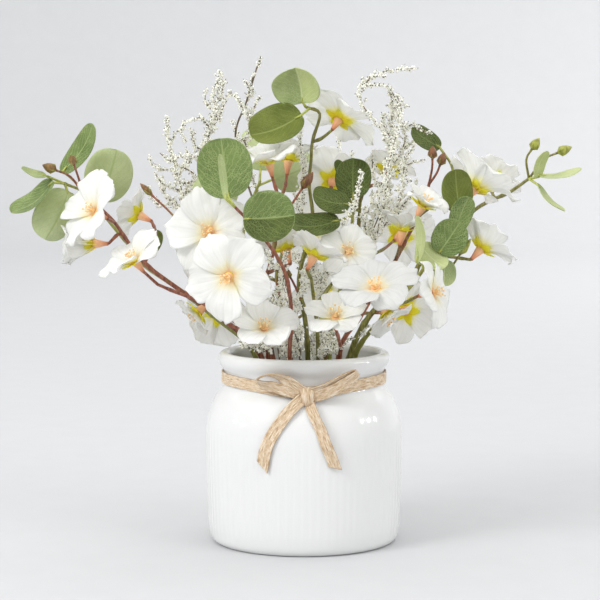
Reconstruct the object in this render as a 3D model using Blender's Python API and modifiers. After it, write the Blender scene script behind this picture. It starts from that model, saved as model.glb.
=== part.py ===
"""Glazed jar of artificial cherry blossom, eucalyptus and white filler, with a jute bow round its neck.

The jar stands on its flat foot with its axis on +Z and its foot at z = 0. The front, with the bow,
faces -Y. Tables are in millimetres and degrees, and the model itself is in metres.
"""

import math
import random

import bmesh
import bpy
from mathutils import Matrix, Vector

MM = 0.001
MERGE = 0.00001
GAP = 0.3

# Jar
JAR_STEPS = 40
RIM_TOP = 109.5
RIM_RADIUS = 49.3
RIM_BEAD = 8.0
NECK_RADIUS = 46.0
NECK_BOTTOM = 90.5
BODY_RADIUS = 56.5
FOOT_RADIUS = 51.5
WALL = 3.4
FLOOR = 4.5

# Dry flower foam in the jar, narrow enough to pass its neck
FOAM_RADIUS = 41.5
FOAM_TOP = 82.0
SOCKET_FLOOR = 58.0
SOCKET_CLEAR = 1.0
SOCKET_SIDES = 4
SOCKET_CORNER = 1.3
SOCKET_HEIGHT = 40.0
FOAM_STEPS = 24

# Jute strap
STRAP_WIDTH = 6.5
STRAP_THICK = 0.9
BAND_CLEAR = 0.9
BAND_Z = 95.0
BAND_STEPS = 20
KNOT = (1.0, -50.5, 90.8)
KNOT_SIZE = (9.5, 4.8, 6.8)
TAIL_STEP = 9.0
LOOP_STEP = 8.0

# Blossom: five lobes cut from one disc of fabric and pressed into a cup
PETALS = 5
SHEET = 0.7
THROAT = 0.2
STAMEN_RISE = 3.0
CALYX_LENGTH = 11.0
CALYX_TOP = 0.5 * SHEET + GAP
CALYX_RADIUS = 2.8
SEPAL_DROP = 1.6
SEPAL_REACH = 7.5
SEPAL_VALLEY = 3.2
TWIG_RADIUS = 0.9
STEM_STEP = 20.0
TWIG_STEP = 16.0
FIVE_WAYS = [math.radians(72 * k) for k in range(5)]

# Leaf: sheet, half width of its stalk and where along the blade its outline has points
LEAF_THICK = 0.8
STALK_HALF = 0.9
STALK_STEP = 14.0
BLADE_SAG = 0.12
BLADE_ROWS = (0.14, 0.4, 0.66, 0.88)

# Bud: radius of its twig, then distance along the bud and share of its full thickness
BUD_TWIG_RADIUS = 0.8
BUD_SHAPE = ((0.12, 0.75), (0.42, 1.0), (0.78, 0.6), (1.0, 0.12))

# Filler: steps along its twigs, and the spindles that stand for its clusters of florets
SPRAY_STEP = 18.0
SPRAY_RADII = (1.0, 0.8)
SPRIG_THICK = 4.4
SPRIG_LENGTHS = (10.0, 14.0)

# Each blossom: middle, the way it faces, turn about that way, cup angle and petal length
BLOSSOMS = {
    "blossom_01": ((-52, -52, 181), (-0.35, -0.9, 0.15), 33, 18, 27),
    "blossom_02": ((-41, -77, 158), (-0.35, -0.9, -0.1), 54, 18, 27),
    "blossom_03": ((-22, -61, 129), (-0.05, -0.6, 0.8), 20, 26, 21),
    "blossom_04": ((-119, -16, 191), (-0.7, -0.48, 0.48), 36, 22, 27),
    "blossom_05": ((-98, 37, 186), (-0.85, 0.3, 0.4), 0, 45, 19),
    "blossom_06": ((-95, -36, 165), (-0.55, -0.35, 0.75), 18, 32, 23),
    "blossom_07": ((-122, 1, 171), (-0.97, -0.05, 0.0), 15, 72, 25),
    "blossom_08": ((-20, -8, 219), (-0.2, -0.25, 1.0), 0, 38, 22),
    "blossom_09": ((-9, 24, 219), (0.1, 0.3, 1.0), 20, 42, 22),
    "blossom_10": ((21, 12, 243), (0.5, 0.48, 0.72), 18, 12, 26),
    "blossom_11": ((17, 44, 206), (0.1, 0.9, 0.45), 0, 26, 23),
    "blossom_12": ((-11, 8, 168), (-0.35, 0.3, 0.95), 10, 40, 23),
    "blossom_13": ((6, -45, 168), (0.45, 0.3, 0.85), 30, 38, 20),
    "blossom_14": ((38, -78, 153), (-0.15, -0.55, 0.82), 28, 21, 27),
    "blossom_15": ((17, -62, 136), (-0.05, -0.5, 0.85), 20, 30, 20),
    "blossom_16": ((72, -46, 147), (0.87, -0.4, 0.22), 40, 20, 21),
    "blossom_17": ((98, -9, 204), (0.6, 0.2, 0.75), 36, 38, 28),
    "blossom_18": ((101, -13, 170), (0.62, 0.25, 0.65), 0, 34, 25),
    "blossom_19": ((113, 36, 206), (0.3, 0.65, 0.7), 10, 34, 19),
    "blossom_20": ((67, -24, 195), (0.4, -0.3, 0.85), 20, 40, 16),
    "blossom_21": ((56, -6, 180), (0.15, 0.05, 1.0), 0, 44, 18),
    "blossom_22": ((-61, -10, 132), (-0.75, -0.1, -0.65), 0, 34, 15),
    "blossom_23": ((25, -19, 168), (0.0, -0.9, 0.35), 10, 22, 18),
    "blossom_24": ((50, 33, 213), (0.2, 0.6, 0.8), 0, 30, 18),
    "blossom_25": ((47, -14, 131), (0.55, -0.3, -0.7), 0, 34, 17),
    "blossom_26": ((-54, 58, 164), (-0.4, 0.9, 0.4), 0, 20, 26),
    "blossom_27": ((6, 78, 176), (0.0, 1.0, 0.4), 20, 18, 26),
    "blossom_28": ((58, 62, 172), (0.45, 0.9, 0.3), 10, 20, 26),
    "blossom_29": ((-52, 54, 126), (-0.5, 0.8, -0.1), 30, 24, 23),
    "blossom_30": ((62, 46, 128), (0.6, 0.75, -0.1), 0, 24, 23),
    "blossom_31": ((14, 64, 132), (0.1, 1.0, 0.1), 0, 20, 25),
}

# Stems of cherry blossom. The route starts where the stem leaves the foam. A side twig to a blossom
# starts at the foot of that blossom's calyx and lists only the points after it, down to the stem. A bud
# has its twig from the stem outwards, then its length and thickness. Leaves are given as further below.
CHERRY = {
    "cherry_left": {
        "foam": (-22, 8),
        "route": [(-26, 6, 108), (-45, 2, 126), (-73, -2, 146), (-90, -2, 159), (-101, 2, 172),
                  (-109, 6, 183), (-119, 12, 192), (-128, 13, 199)],
        "thick": (1.9, 0.9),
        "blossoms": {"blossom_04": [(-109, 5, 183)], "blossom_05": [(-86, 18, 174), (-91, -1, 160)],
                     "blossom_07": [(-107, 5, 176), (-104, 3, 176)]},
        "buds": [([(-127, 13, 198), (-134, 7, 209), (-142, 3, 213)], 8.5, 5.6),
                 ([(-127, 13, 198), (-129, 4, 208), (-131, -4, 217)], 6.5, 4.8)],
        "leaves": [],
    },
    "cherry_left_front": {
        "foam": (-16, -10),
        "route": [(-21, -13, 109), (-37, -22, 127), (-58, -27, 140), (-72, -30, 146), (-82, -28, 150)],
        "thick": (1.6, 0.9),
        "blossoms": {"blossom_01": [(-50, -38, 160), (-48, -25, 134)],
                     "blossom_02": [(-42, -50, 146), (-37, -22, 127)],
                     "blossom_06": [(-82, -28, 150)], "blossom_22": [(-44, -15, 127), (-33, -20, 123)]},
        "buds": [([(-45, -24, 131), (-58, -14, 160), (-72, -4, 184), (-87, 0, 199)], 9.5, 3.6)],
        "leaves": [],
    },
    "cherry_centre_left": {
        "foam": (-12, -21),
        "route": [(-18, -24, 110), (-22, -28, 130), (-24, -27, 140), (-24, -23, 148), (-20, -21, 158),
                  (-17, -20, 170), (-15, -15, 184), (-14, -4, 197)],
        "thick": (1.7, 0.9),
        "blossoms": {"blossom_03": [(-21, -34, 118), (-19, -26, 114)], "blossom_08": [(-14, -4, 196)],
                     "blossom_09": [(-11, 10, 203), (-14, -5, 195)],
                     "blossom_12": [(-16, -8, 157), (-21, -20, 155)]},
        "buds": [([(-15, -16, 180), (-7, -8, 194), (-1, -6, 203)], 11.0, 5.8)],
        "leaves": [],
    },
    "cherry_centre": {
        "foam": (2, -12),
        "route": [(2, -14, 112), (0, -13, 133), (-3, -10, 148), (-1, -4, 161), (3, 4, 173),
                  (5, 12, 187), (3, 13, 204), (4, 12, 218), (5, 10, 230), (9, 7, 245), (1, 4, 249)],
        "thick": (1.7, 0.8),
        "blossoms": {"blossom_10": [(10, 9, 231), (5, 10, 229)]},
        "buds": [([(-2, -12, 140), (-6, -18, 150), (-8, -22, 154)], 9.0, 3.4)],
        "leaves": [
            ([(1, 4, 249), (-1, 2, 252)], (-5, -5, 271), (-0.35, -0.93, 0.0), 29, 30),
            ([(3, 5, 248), (-2, -2, 244)], (-30, -8, 233), (-0.2, -0.85, 0.5), 26, 22),
        ],
    },
    "cherry_centre_front": {
        "foam": (8, -22),
        "route": [(8, -22, 108), (7, -26, 130), (5, -31, 145), (4, -38, 154)],
        "thick": (1.5, 0.9),
        "blossoms": {"blossom_13": [(4, -38, 154)], "blossom_23": [(16, -17, 150), (6, -28, 138)]},
        "buds": [],
        "leaves": [],
    },
    "cherry_right_front": {
        "foam": (17, -22),
        "route": [(20, -30, 110), (22, -37, 120), (30, -43, 131), (36, -49, 142)],
        "thick": (1.6, 0.9),
        "blossoms": {"blossom_14": [(36, -60, 148), (36, -49, 142)],
                     "blossom_15": [(19, -48, 122), (21, -34, 114)]},
        "buds": [],
        "leaves": [],
    },
    "cherry_right": {
        "foam": (24, -6),
        "route": [(27, -9, 110), (38, -14, 132), (50, -14, 141), (61, -8, 151), (68, -1, 163),
                  (78, 3, 173), (90, 6, 182), (99, 13, 190), (108, 16, 195), (119, 15, 200), (129, 6, 208)],
        "thick": (2.1, 0.9),
        "blossoms": {"blossom_16": [(55, -24, 139), (48, -15, 139)], "blossom_17": [(91, 4, 182)],
                     "blossom_18": [(83, -7, 164), (70, -1, 164)],
                     "blossom_19": [(110, 14, 196), (109, 4, 195)],
                     "blossom_25": [(40, -13, 136)]},
        "buds": [([(128, 3, 207), (127, 2, 219), (130, 1, 225)], 7.5, 5.4),
                 ([(128, 3, 207), (137, 3, 219), (145, 2, 223)], 8.5, 5.4),
                 ([(69, -1, 163), (75, -8, 156), (82, -17, 158), (88, -22, 167)], 11.0, 3.8)],
        "leaves": [
            ([(129, 3, 208), (135, 0, 210)], (158, -2, 214), (0.0, -0.15, 1.0), 18, 6),
            ([(128, 3, 207), (133, -2, 205)], (148, -6, 190), (0.75, -0.25, 0.6), 14, 10),
            ([(128, 3, 207), (133, 0, 209)], (138, -4, 224), (0.6, -0.7, 0.1), 9, 10),
        ],
    },
    "cherry_right_upper": {
        "foam": (18, 8),
        "route": [(22, 8, 112), (34, 6, 132), (46, 3, 150), (53, 4, 162), (62, 14, 178), (69, 13, 192),
                  (72, 6, 206)],
        "thick": (1.7, 0.9),
        "blossoms": {"blossom_20": [(73, -10, 195), (71, 9, 200)], "blossom_21": [(53, 4, 162)]},
        "buds": [([(71, 7, 205), (73, -1, 214), (73, -4, 220)], 7.5, 5.0),
                 ([(71, 7, 205), (76, 6, 211), (78, 6, 216)], 7.5, 5.0)],
        "leaves": [],
    },
    "cherry_back_right": {
        "foam": (10, 18),
        "route": [(14, 22, 112), (24, 30, 135), (30, 34, 155), (32, 34, 175), (33, 31, 195)],
        "thick": (1.8, 1.0),
        "blossoms": {"blossom_11": [(20, 28, 196), (33, 31, 188)],
                     "blossom_24": [(37, 29, 202), (33, 31, 194)],
                     "blossom_28": [(46, 46, 164), (32, 34, 158)],
                     "blossom_30": [(40, 32, 128), (22, 28, 128)]},
        "buds": [],
        "leaves": [],
    },
    "cherry_back_left": {
        "foam": (-8, 20),
        "route": [(-10, 26, 112), (-14, 34, 135), (-16, 40, 152), (-12, 48, 164)],
        "thick": (1.8, 1.0),
        "blossoms": {"blossom_26": [(-36, 44, 156), (-15, 38, 146)],
                     "blossom_27": [(-2, 60, 168), (-12, 48, 163)],
                     "blossom_29": [(-34, 38, 124), (-12, 30, 120)],
                     "blossom_31": [(4, 48, 128), (-12, 29, 120)]},
        "buds": [],
        "leaves": [],
    },
}

# Stems of eucalyptus. Each leaf has its stalk from the stem to the foot of the blade, then the blade's
# tip, the way its upper side faces, its width and its fold along the midrib.
EUCALYPTUS = {
    "eucalyptus_left": {
        "foam": (-26, 16),
        "route": [(-30, 15, 108), (-50, 14, 126), (-75, 8, 146), (-91, 9, 157), (-100, 19, 167),
                  (-112, 26, 180), (-126, 24, 198), (-138, 12, 205)],
        "thick": (1.7, 0.8),
        "leaves": [
            ([(-126, 22, 199), (-134, 18, 207), (-139, 12, 212)], (-121, 9, 239), (-0.5, -0.8, 0.3), 15, 8),
            ([(-138, 12, 205), (-144, 2, 206)], (-167, -2, 189), (-0.5, -0.4, 0.77), 24, 12),
            ([(-138, 12, 205), (-136, 10, 200)], (-149, 8, 173), (-0.5, 0.84, -0.2), 26, 26),
            ([(-120, 26, 190), (-118, 26, 195)], (-109, 26, 224), (-0.2, 1.0, 0.0), 28, 26),
            ([(-138, 12, 205), (-148, 2, 210)], (-160, -8, 214), (0.1, -0.6, 0.8), 8, 20),
            ([(-95, 14, 162), (-90, 25, 164)], (-85, 27, 177), (0.0, -1.0, 0.2), 9, 10),
        ],
    },
    "eucalyptus_centre_left": {
        "foam": (-4, -28),
        "route": [(-8, -36, 110), (-7, -42, 135), (-11, -54, 160), (-24, -65, 181), (-38, -69, 196)],
        "thick": (1.5, 0.8),
        "leaves": [
            ([(-38, -69, 196), (-41, -68, 201)], (-45, -62, 232), (0.0, -1.0, 0.1), 30, 10),
            ([(-30, -67, 185), (-32, -70, 189)], (-5, -72, 191), (0.0, -1.0, 0.25), 28, 26),
            ([(-38, -69, 195), (-42, -75, 200)], (-45, -76, 224), (0.0, -1.0, 0.1), 4, 10),
        ],
    },
    "eucalyptus_centre": {
        "foam": (14, -8),
        "route": [(15, -6, 112), (18, 0, 135), (24, 4, 155), (27, 4, 175), (28, 0, 192)],
        "thick": (1.5, 0.8),
        "leaves": [
            ([(28, 0, 191), (28, -3, 198)], (28, -9, 220), (0.1, -0.95, 0.3), 21, 12),
            ([(28, 0, 191), (25, -10, 194)], (5, -16, 200), (0.0, -0.75, 0.65), 18, 10),
            ([(28, 1, 187), (19, -16, 185)], (-9, -26, 184), (0.0, -0.65, 0.75), 19, 12),
            ([(28, 0, 191), (22, 0, 208)], (19, -2, 219), (-0.5, -0.8, 0.2), 7, 10),
        ],
    },
    "eucalyptus_right": {
        "foam": (26, 4),
        "route": [(31, 2, 110), (46, -6, 130), (60, -18, 148), (67, -22, 158), (74, -22, 170),
                  (84, -17, 184), (82, -8, 200)],
        "thick": (1.7, 0.8),
        "leaves": [
            ([(84, -17, 184), (88, -17, 190)], (85, -19, 214), (0.1, -0.95, 0.2), 18, 10),
            ([(84, -17, 184), (85, -23, 180)], (92, -26, 199), (0.2, -0.8, 0.3), 13, 10),
            ([(68, -23, 160), (63, -32, 163)], (63, -35, 189), (-0.8, -0.5, 0.1), 9, 10),
            ([(67, -22, 158), (65, -27, 172)], (79, -31, 160), (0.2, -0.7, 0.6), 16, 10),
            ([(74, -22, 170), (76, -26, 168)], (87, -30, 185), (0.1, -0.9, 0.35), 20, 10),
            ([(71, -22, 165), (80, -22, 163)], (79, -24, 149), (0.4, -0.85, 0.2), 14, 10),
            ([(82, -8, 199), (85, 6, 214), (78, 12, 226)], (62, 8, 237), (0.2, -0.9, 0.3), 12, 10),
        ],
    },
    "eucalyptus_back": {
        "foam": (-16, 18),
        "route": [(-21, 20, 110), (-31, 26, 135), (-37, 38, 160), (-34, 50, 185), (-26, 54, 205)],
        "thick": (1.6, 0.8),
        "leaves": [
            ([(-26, 54, 204), (-26, 58, 212)], (-24, 62, 238), (0.0, 0.95, 0.2), 28, 10),
            ([(-27, 54, 202), (-18, 60, 206)], (6, 66, 216), (0.2, 0.9, 0.4), 26, 12),
            ([(-35, 48, 180), (-44, 52, 190)], (-62, 52, 210), (-0.4, 0.9, 0.3), 26, 12),
        ],
    },
}

# Sprays of white filler: place in the foam, route of the main twig and the share of it that is bare
FILLER = {
    "filler_left_plume": (
        (-6, 6),
        [(-8, 8, 112), (-20, 12, 145), (-42, 12, 185), (-58, 12, 218), (-52, 10, 245), (-47, 8, 266)],
        0.6),
    "filler_left_high": (
        (-2, 12),
        [(-3, 14, 112), (-12, 26, 150), (-30, 34, 195), (-40, 29, 230), (-33, 21, 253), (-26, 13, 275)],
        0.62),
    "filler_far_left": (
        (-14, 12),
        [(-16, 12, 112), (-34, 18, 145), (-62, 14, 180), (-72, 6, 208), (-78, 2, 236), (-78, 1, 244)],
        0.6),
    "filler_right_plume": (
        (12, 2),
        [(13, 2, 112), (22, 14, 145), (42, 20, 182), (49, 6, 212), (46, -10, 232), (33, -16, 250),
         (31, -14, 260), (40, -8, 267), (52, -3, 270), (65, 0, 271)],
        0.6),
    "filler_right_front": (
        (6, -6),
        [(8, -6, 112), (12, -2, 140), (26, 14, 160), (38, 8, 180), (44, -8, 202), (50, -12, 226),
         (55, -12, 244), (52, -11, 257)],
        0.6),
    "filler_front": (
        (-2, -20),
        [(-3, -24, 112), (-8, -34, 135), (-12, -40, 152)],
        0.62),
    "filler_back": (
        (4, 26),
        [(6, 36, 112), (12, 56, 150), (20, 68, 188), (22, 64, 215), (20, 60, 236)],
        0.5),
}

PARTS = None
CUTTERS = None


def clear_scene():
    for item in list(bpy.data.objects):
        bpy.data.objects.remove(item)


def make_collection(name):
    group = bpy.data.collections.new(name)
    bpy.context.scene.collection.children.link(group)
    return group


def make_material(name, colour, roughness, metallic=0.0):
    material = bpy.data.materials.new(name)
    material.use_nodes = True
    shader = material.node_tree.nodes["Principled BSDF"]
    shader.inputs["Base Color"].default_value = (*colour, 1.0)
    shader.inputs["Roughness"].default_value = roughness
    shader.inputs["Metallic"].default_value = metallic
    return material


def make_object(name, mesh, group, material=None):
    item = bpy.data.objects.new(name, mesh)
    group.objects.link(item)
    if material is not None:
        mesh.materials.append(material)
    return item


def moved_to(group):
    """The object just added, moved from the scene's own collection to a group."""
    item = bpy.context.object
    for old in list(item.users_collection):
        old.objects.unlink(item)
    group.objects.link(item)
    return item


def mesh_from(name, points, faces):
    mesh = bpy.data.meshes.new(name)
    mesh.from_pydata([Vector(p) * MM for p in points], [], faces)
    mesh.validate()
    return mesh


def evaluated_mesh(item):
    graph = bpy.context.evaluated_depsgraph_get()
    return bpy.data.meshes.new_from_object(item.evaluated_get(graph), depsgraph=graph)


def smooth_route(points, step):
    """Points about one step apart on a smooth curve through the given points."""
    knots = [Vector(p) for p in points]
    knots = [knots[0] * 2 - knots[1]] + knots + [knots[-1] * 2 - knots[-2]]
    route = [knots[1]]
    for a, b, c, d in zip(knots, knots[1:], knots[2:], knots[3:]):
        count = max(1, round((c - b).length / step))
        for i in range(1, count + 1):
            t = i / count
            pull = b * 2 + (c - a) * t + (a * 2 - b * 5 + c * 4 - d) * t * t
            route.append(0.5 * (pull + (b * 3 - a - c * 3 + d) * t * t * t))
    return route


def taper(route, thick_start, thick_end):
    """Radius at each point of a route, from one end's to the other's."""
    last = len(route) - 1
    return [thick_start + (thick_end - thick_start) * i / last for i in range(len(route))]


def tube(route, radii, sides_level, group):
    """A round stem along the route, with a radius at each point, as a closed mesh."""
    curve = bpy.data.curves.new("stem", "CURVE")
    curve.dimensions = "3D"
    curve.bevel_depth = MM
    curve.bevel_resolution = sides_level
    curve.use_fill_caps = True
    spline = curve.splines.new("POLY")
    spline.points.add(len(route) - 1)
    for place, radius, point in zip(route, radii, spline.points):
        point.co = (*(place * MM), 1.0)
        point.radius = radius
    item = make_object("stem_curve", curve, group)
    mesh = evaluated_mesh(item)
    bpy.data.objects.remove(item)
    work = bmesh.new()
    work.from_mesh(mesh)
    bmesh.ops.remove_doubles(work, verts=work.verts, dist=MERGE)
    bmesh.ops.recalc_face_normals(work, faces=work.faces)
    work.to_mesh(mesh)
    work.free()
    return make_object("stem", mesh, group)


def frame_towards(place, facing, spin=0.0):
    """Matrix that puts local +Z along the facing direction at a place in millimetres."""
    turn = Vector(facing).to_track_quat("Z", "Y").to_matrix().to_4x4()
    return Matrix.Translation(Vector(place)) @ turn @ Matrix.Rotation(math.radians(spin), 4, "Z")


def jar_outside():
    """Outline under the lip down to the middle of the foot."""
    return [
        (NECK_RADIUS + 1.6, RIM_TOP - RIM_BEAD),
        (NECK_RADIUS, RIM_TOP - RIM_BEAD - 3.0),
        (NECK_RADIUS, NECK_BOTTOM),
        (NECK_RADIUS + 4.4, NECK_BOTTOM - 6.0),
        (BODY_RADIUS - 2.2, 75.0),
        (BODY_RADIUS, 64.0),
        (BODY_RADIUS - 1.4, 10.0),
        (FOOT_RADIUS + 1.8, 3.0),
        (FOOT_RADIUS, 0.0),
        (0.0, 0.0),
    ]


def jar_profile():
    """Outline from the middle of the floor, up the inside, over the lip and down to the foot."""
    lip_radius = (RIM_RADIUS - NECK_RADIUS + WALL) * 0.5
    lip_middle = RIM_RADIUS - lip_radius
    lip = []
    for i in range(4):
        angle = math.radians(180 - 60 * i)
        lip.append((lip_middle + lip_radius * math.cos(angle), RIM_TOP - lip_radius * (1 - math.sin(angle))))
    inside = [
        (0.0, FLOOR),
        (BODY_RADIUS - WALL - 1.5, FLOOR),
        (BODY_RADIUS - WALL - 0.5, 64.0),
        (NECK_RADIUS - WALL, NECK_BOTTOM - 4.0),
    ]
    return inside + lip + jar_outside()


def onto(route, place):
    """Nearest point of a route to a place."""
    best = None
    for a, b in zip(route, route[1:]):
        along = b - a
        share = min(1.0, max(0.0, (Vector(place) - a).dot(along) / along.length_squared))
        near = a + along * share
        if best is None or (near - Vector(place)).length < (best - Vector(place)).length:
            best = near
    return best


def turned(name, profile, steps, closed, group, material):
    edges = [(i, i + 1) for i in range(len(profile) - 1)]
    if closed:
        edges.append((len(profile) - 1, 0))
    mesh = bpy.data.meshes.new(name)
    mesh.from_pydata([(r * MM, 0.0, z * MM) for r, z in profile], edges, [])
    item = make_object(name, mesh, group, material)
    screw = item.modifiers.new("Turn", "SCREW")
    screw.steps = steps
    screw.render_steps = steps
    screw.use_merge_vertices = True
    screw.merge_threshold = MERGE
    screw.use_smooth_shade = True
    return item


def build_jar(material):
    turned("jar", jar_profile(), JAR_STEPS, False, PARTS, material)


def build_band(material):
    inner = NECK_RADIUS + BAND_CLEAR
    outer = inner + STRAP_THICK
    low = BAND_Z - STRAP_WIDTH * 0.5
    high = BAND_Z + STRAP_WIDTH * 0.5
    profile = [(inner, high), (outer, high), (outer, low), (inner, low)]
    turned("ribbon_band", profile, BAND_STEPS, True, PARTS, material)


def jar_radius(z):
    """Radius of the outside of the jar at height z, read from the outline."""
    outline = jar_outside()
    for (r_high, z_high), (r_low, z_low) in zip(outline, outline[1:]):
        if z_low <= z <= z_high:
            return r_low + (r_high - r_low) * (z - z_low) / (z_high - z_low)
    return BODY_RADIUS


def strap(route, across, group):
    """Flat jute strap: a strip along the route, with its width along the given directions, made solid."""
    half = STRAP_WIDTH * 0.5
    points = []
    for place, side in zip(route, across):
        side = Vector(side).normalized() * half
        points += [place - side, place + side]
    faces = []
    for i in range(len(route) - 1):
        faces.append((2 * i, 2 * i + 1, 2 * i + 3, 2 * i + 2))
    return thickened("strap", points, faces, STRAP_THICK, group)


def thickened(name, points, faces, thick, group):
    """Closed solid from an open sheet, with the same triangles on both of its faces."""
    item = make_object(name, mesh_from(name, points, faces), group)
    split = item.modifiers.new("Split", "TRIANGULATE")
    split.keep_custom_normals = False
    solid = item.modifiers.new("Sheet", "SOLIDIFY")
    solid.thickness = thick * MM
    solid.offset = 0.0
    solid.use_even_offset = False
    mesh = evaluated_mesh(item)
    bpy.data.objects.remove(item)
    return make_object(name, mesh, group)


def union_mesh(item):
    """Triangles of an item's union, and whether they close it with all faces turned one way."""
    mesh = evaluated_mesh(item)
    work = bmesh.new()
    work.from_mesh(mesh)
    bmesh.ops.triangulate(work, faces=work.faces)
    closed = all(edge.is_manifold and edge.is_contiguous for edge in work.edges)
    work.to_mesh(mesh)
    work.free()
    return mesh, closed


def joined(name, pieces, material, holder):
    """One solid from overlapping pieces, by one Boolean union on the collection that holds them."""
    first = pieces[0]
    holder.objects.unlink(first)
    PARTS.objects.link(first)
    union = first.modifiers.new("Union", "BOOLEAN")
    union.operation = "UNION"
    union.operand_type = "COLLECTION"
    union.collection = holder
    union.solver = "EXACT"
    mesh, closed = union_mesh(first)
    if not closed:
        union.solver = "MANIFOLD"
        mesh, closed = union_mesh(first)
    bpy.data.objects.remove(first)
    for item in list(holder.objects):
        bpy.data.objects.remove(item)
    mesh.materials.clear()
    return make_object(name, mesh, PARTS, material)


def on_jar(x, z, clear):
    """Point on the front of the jar, the given distance in front of its wall."""
    radius = jar_radius(z) + clear
    return Vector((x, -math.sqrt(radius * radius - x * x), z))


def bow_tail(points, group):
    route = [Vector(KNOT) + Vector((0, -1.4, -1))] + [on_jar(x, z, clear) for x, z, clear in points]
    route = smooth_route(route, TAIL_STEP)
    across = []
    for i, place in enumerate(route):
        along = route[min(i + 1, len(route) - 1)] - route[max(i - 1, 0)]
        outward = Vector((place.x, place.y, 0.0))
        across.append(along.cross(outward))
    return strap(route, across, group)


def bow_loop(points, tilt, group):
    """Loop of the bow, from the upper side of the knot out and back to its lower side."""
    side = 2.0 if points[0][0] > 0 else -2.0
    leave = Vector(KNOT) + Vector((side, 0.0, 2.0))
    enter = Vector(KNOT) + Vector((side, -1.1, -1.0))
    route = smooth_route([leave] + [Vector(p) for p in points] + [enter], LOOP_STEP)
    return strap(route, [tilt] * len(route), group)


def build_bow(material, holder):
    bpy.ops.mesh.primitive_uv_sphere_add(segments=8, ring_count=5, radius=0.5, location=(0, 0, 0))
    knot = moved_to(holder)
    knot.data.transform(Matrix.Diagonal((*[s * MM for s in KNOT_SIZE], 1.0)))
    knot.data.transform(Matrix.Translation(Vector(KNOT) * MM))
    pieces = [knot]
    pieces.append(bow_loop([(-8, -54.5, 96.5), (-20, -52.5, 102), (-27, -50.5, 99.5), (-22, -50.8, 94),
                            (-10, -53.0, 90.0)], (0.0, -0.55, 0.8), holder))
    pieces.append(bow_loop([(9, -53.5, 96.0), (20, -51.5, 100.5), (27, -49.0, 102.0), (21, -50.6, 96.0),
                            (10, -52.0, 91.0)], (-0.2, -0.7, 0.7), holder))
    pieces.append(bow_tail([(-6, 83, 4.6), (-13, 75, 2.6), (-19, 66, 1.8), (-23, 58, 1.6),
                            (-25, 50, 1.6)], holder))
    pieces.append(bow_tail([(4, 83, 5.0), (8, 75, 3.2), (12.5, 65, 2.4), (17, 53, 2.0)], holder))
    joined("ribbon_bow", pieces, material, holder)


def petal_height(share, openness, length):
    """Distance out from the middle and rise of a point on a petal's middle line."""
    slope = math.radians(openness + 14.0 - 22.0 * share)
    return length * share * math.cos(slope), length * share * math.sin(slope)


def corolla_sheet(openness, length, rng):
    """Points and faces of the five-lobed sheet, in its own frame with +Z as the way it faces."""
    outline = [(0.60, -0.40), (0.90, -0.33), (0.93, 0.0), (0.90, 0.33), (0.60, 0.40)]
    throat_out, throat_up = petal_height(THROAT, openness, length)
    spread = math.cos(math.radians(openness * 0.9))
    points = [(0.0, 0.0, STAMEN_RISE)]
    faces = []

    def around(angle, out, across, up):
        direction = Vector((math.cos(angle), math.sin(angle), 0.0))
        side = Vector((-math.sin(angle), math.cos(angle), 0.0))
        return direction * out + side * across + Vector((0.0, 0.0, up - throat_up))

    step = 2 * math.pi / PETALS
    for k in range(PETALS):
        angle = k * step
        lift = rng.uniform(-3.0, 3.0)
        points.append(around(angle - step * 0.5, throat_out, 0.0, throat_up))
        points.append(around(angle, throat_out, 0.0, throat_up))
        out, up = petal_height(0.58, openness + lift, length)
        points.append(around(angle, out, 0.0, up - 0.02 * length))
        for share, across in outline:
            out, up = petal_height(share, openness + lift, length)
            points.append(around(angle, out, across * length * spread, up + 0.07 * length * abs(across) * 2))
    ring = 3 + len(outline)
    for k in range(PETALS):
        slit = 1 + k * ring
        axis = slit + 1
        middle = slit + 2
        rim = [slit] + [slit + 3 + i for i in range(len(outline))] + [1 + ((k + 1) % PETALS) * ring]
        faces += [(0, slit, axis), (0, axis, rim[-1]), (slit, middle, axis), (axis, middle, rim[-1])]
        faces += [(middle, a, b) for a, b in zip(rim, rim[1:])]
    return points, faces


def build_blossoms(material):
    for number, (name, spec) in enumerate(BLOSSOMS.items()):
        place, facing, spin, openness, length = spec
        rng = random.Random(number)
        points, faces = corolla_sheet(openness, length, rng)
        frame = frame_towards(place, facing, spin)
        points = [frame @ Vector(p) for p in points]
        item = make_object(name, mesh_from(name, points, faces), PARTS, material)
        work = bmesh.new()
        work.from_mesh(item.data)
        bmesh.ops.recalc_face_normals(work, faces=work.faces)
        work.to_mesh(item.data)
        work.free()
        solid = item.modifiers.new("Sheet", "SOLIDIFY")
        solid.thickness = SHEET * MM
        solid.offset = 0.0


def calyx_foot(name):
    place, facing = BLOSSOMS[name][:2]
    return Vector(place) - Vector(facing).normalized() * (CALYX_LENGTH - 1.0)


def twig_rings(twig, across):
    """Rings of five points round a twig, starting from its far end, turned to suit its first end."""
    rings = []
    for i, spot in enumerate(twig):
        along = (twig[max(i - 1, 0)] - twig[min(i + 1, len(twig) - 1)]).normalized()
        across = (across - along * across.dot(along)).normalized()
        beside = along.cross(across)
        rings.append([spot + (across * math.cos(angle) + beside * math.sin(angle)) * TWIG_RADIUS
                      for angle in FIVE_WAYS])
    return [point for ring in reversed(rings) for point in ring]


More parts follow.
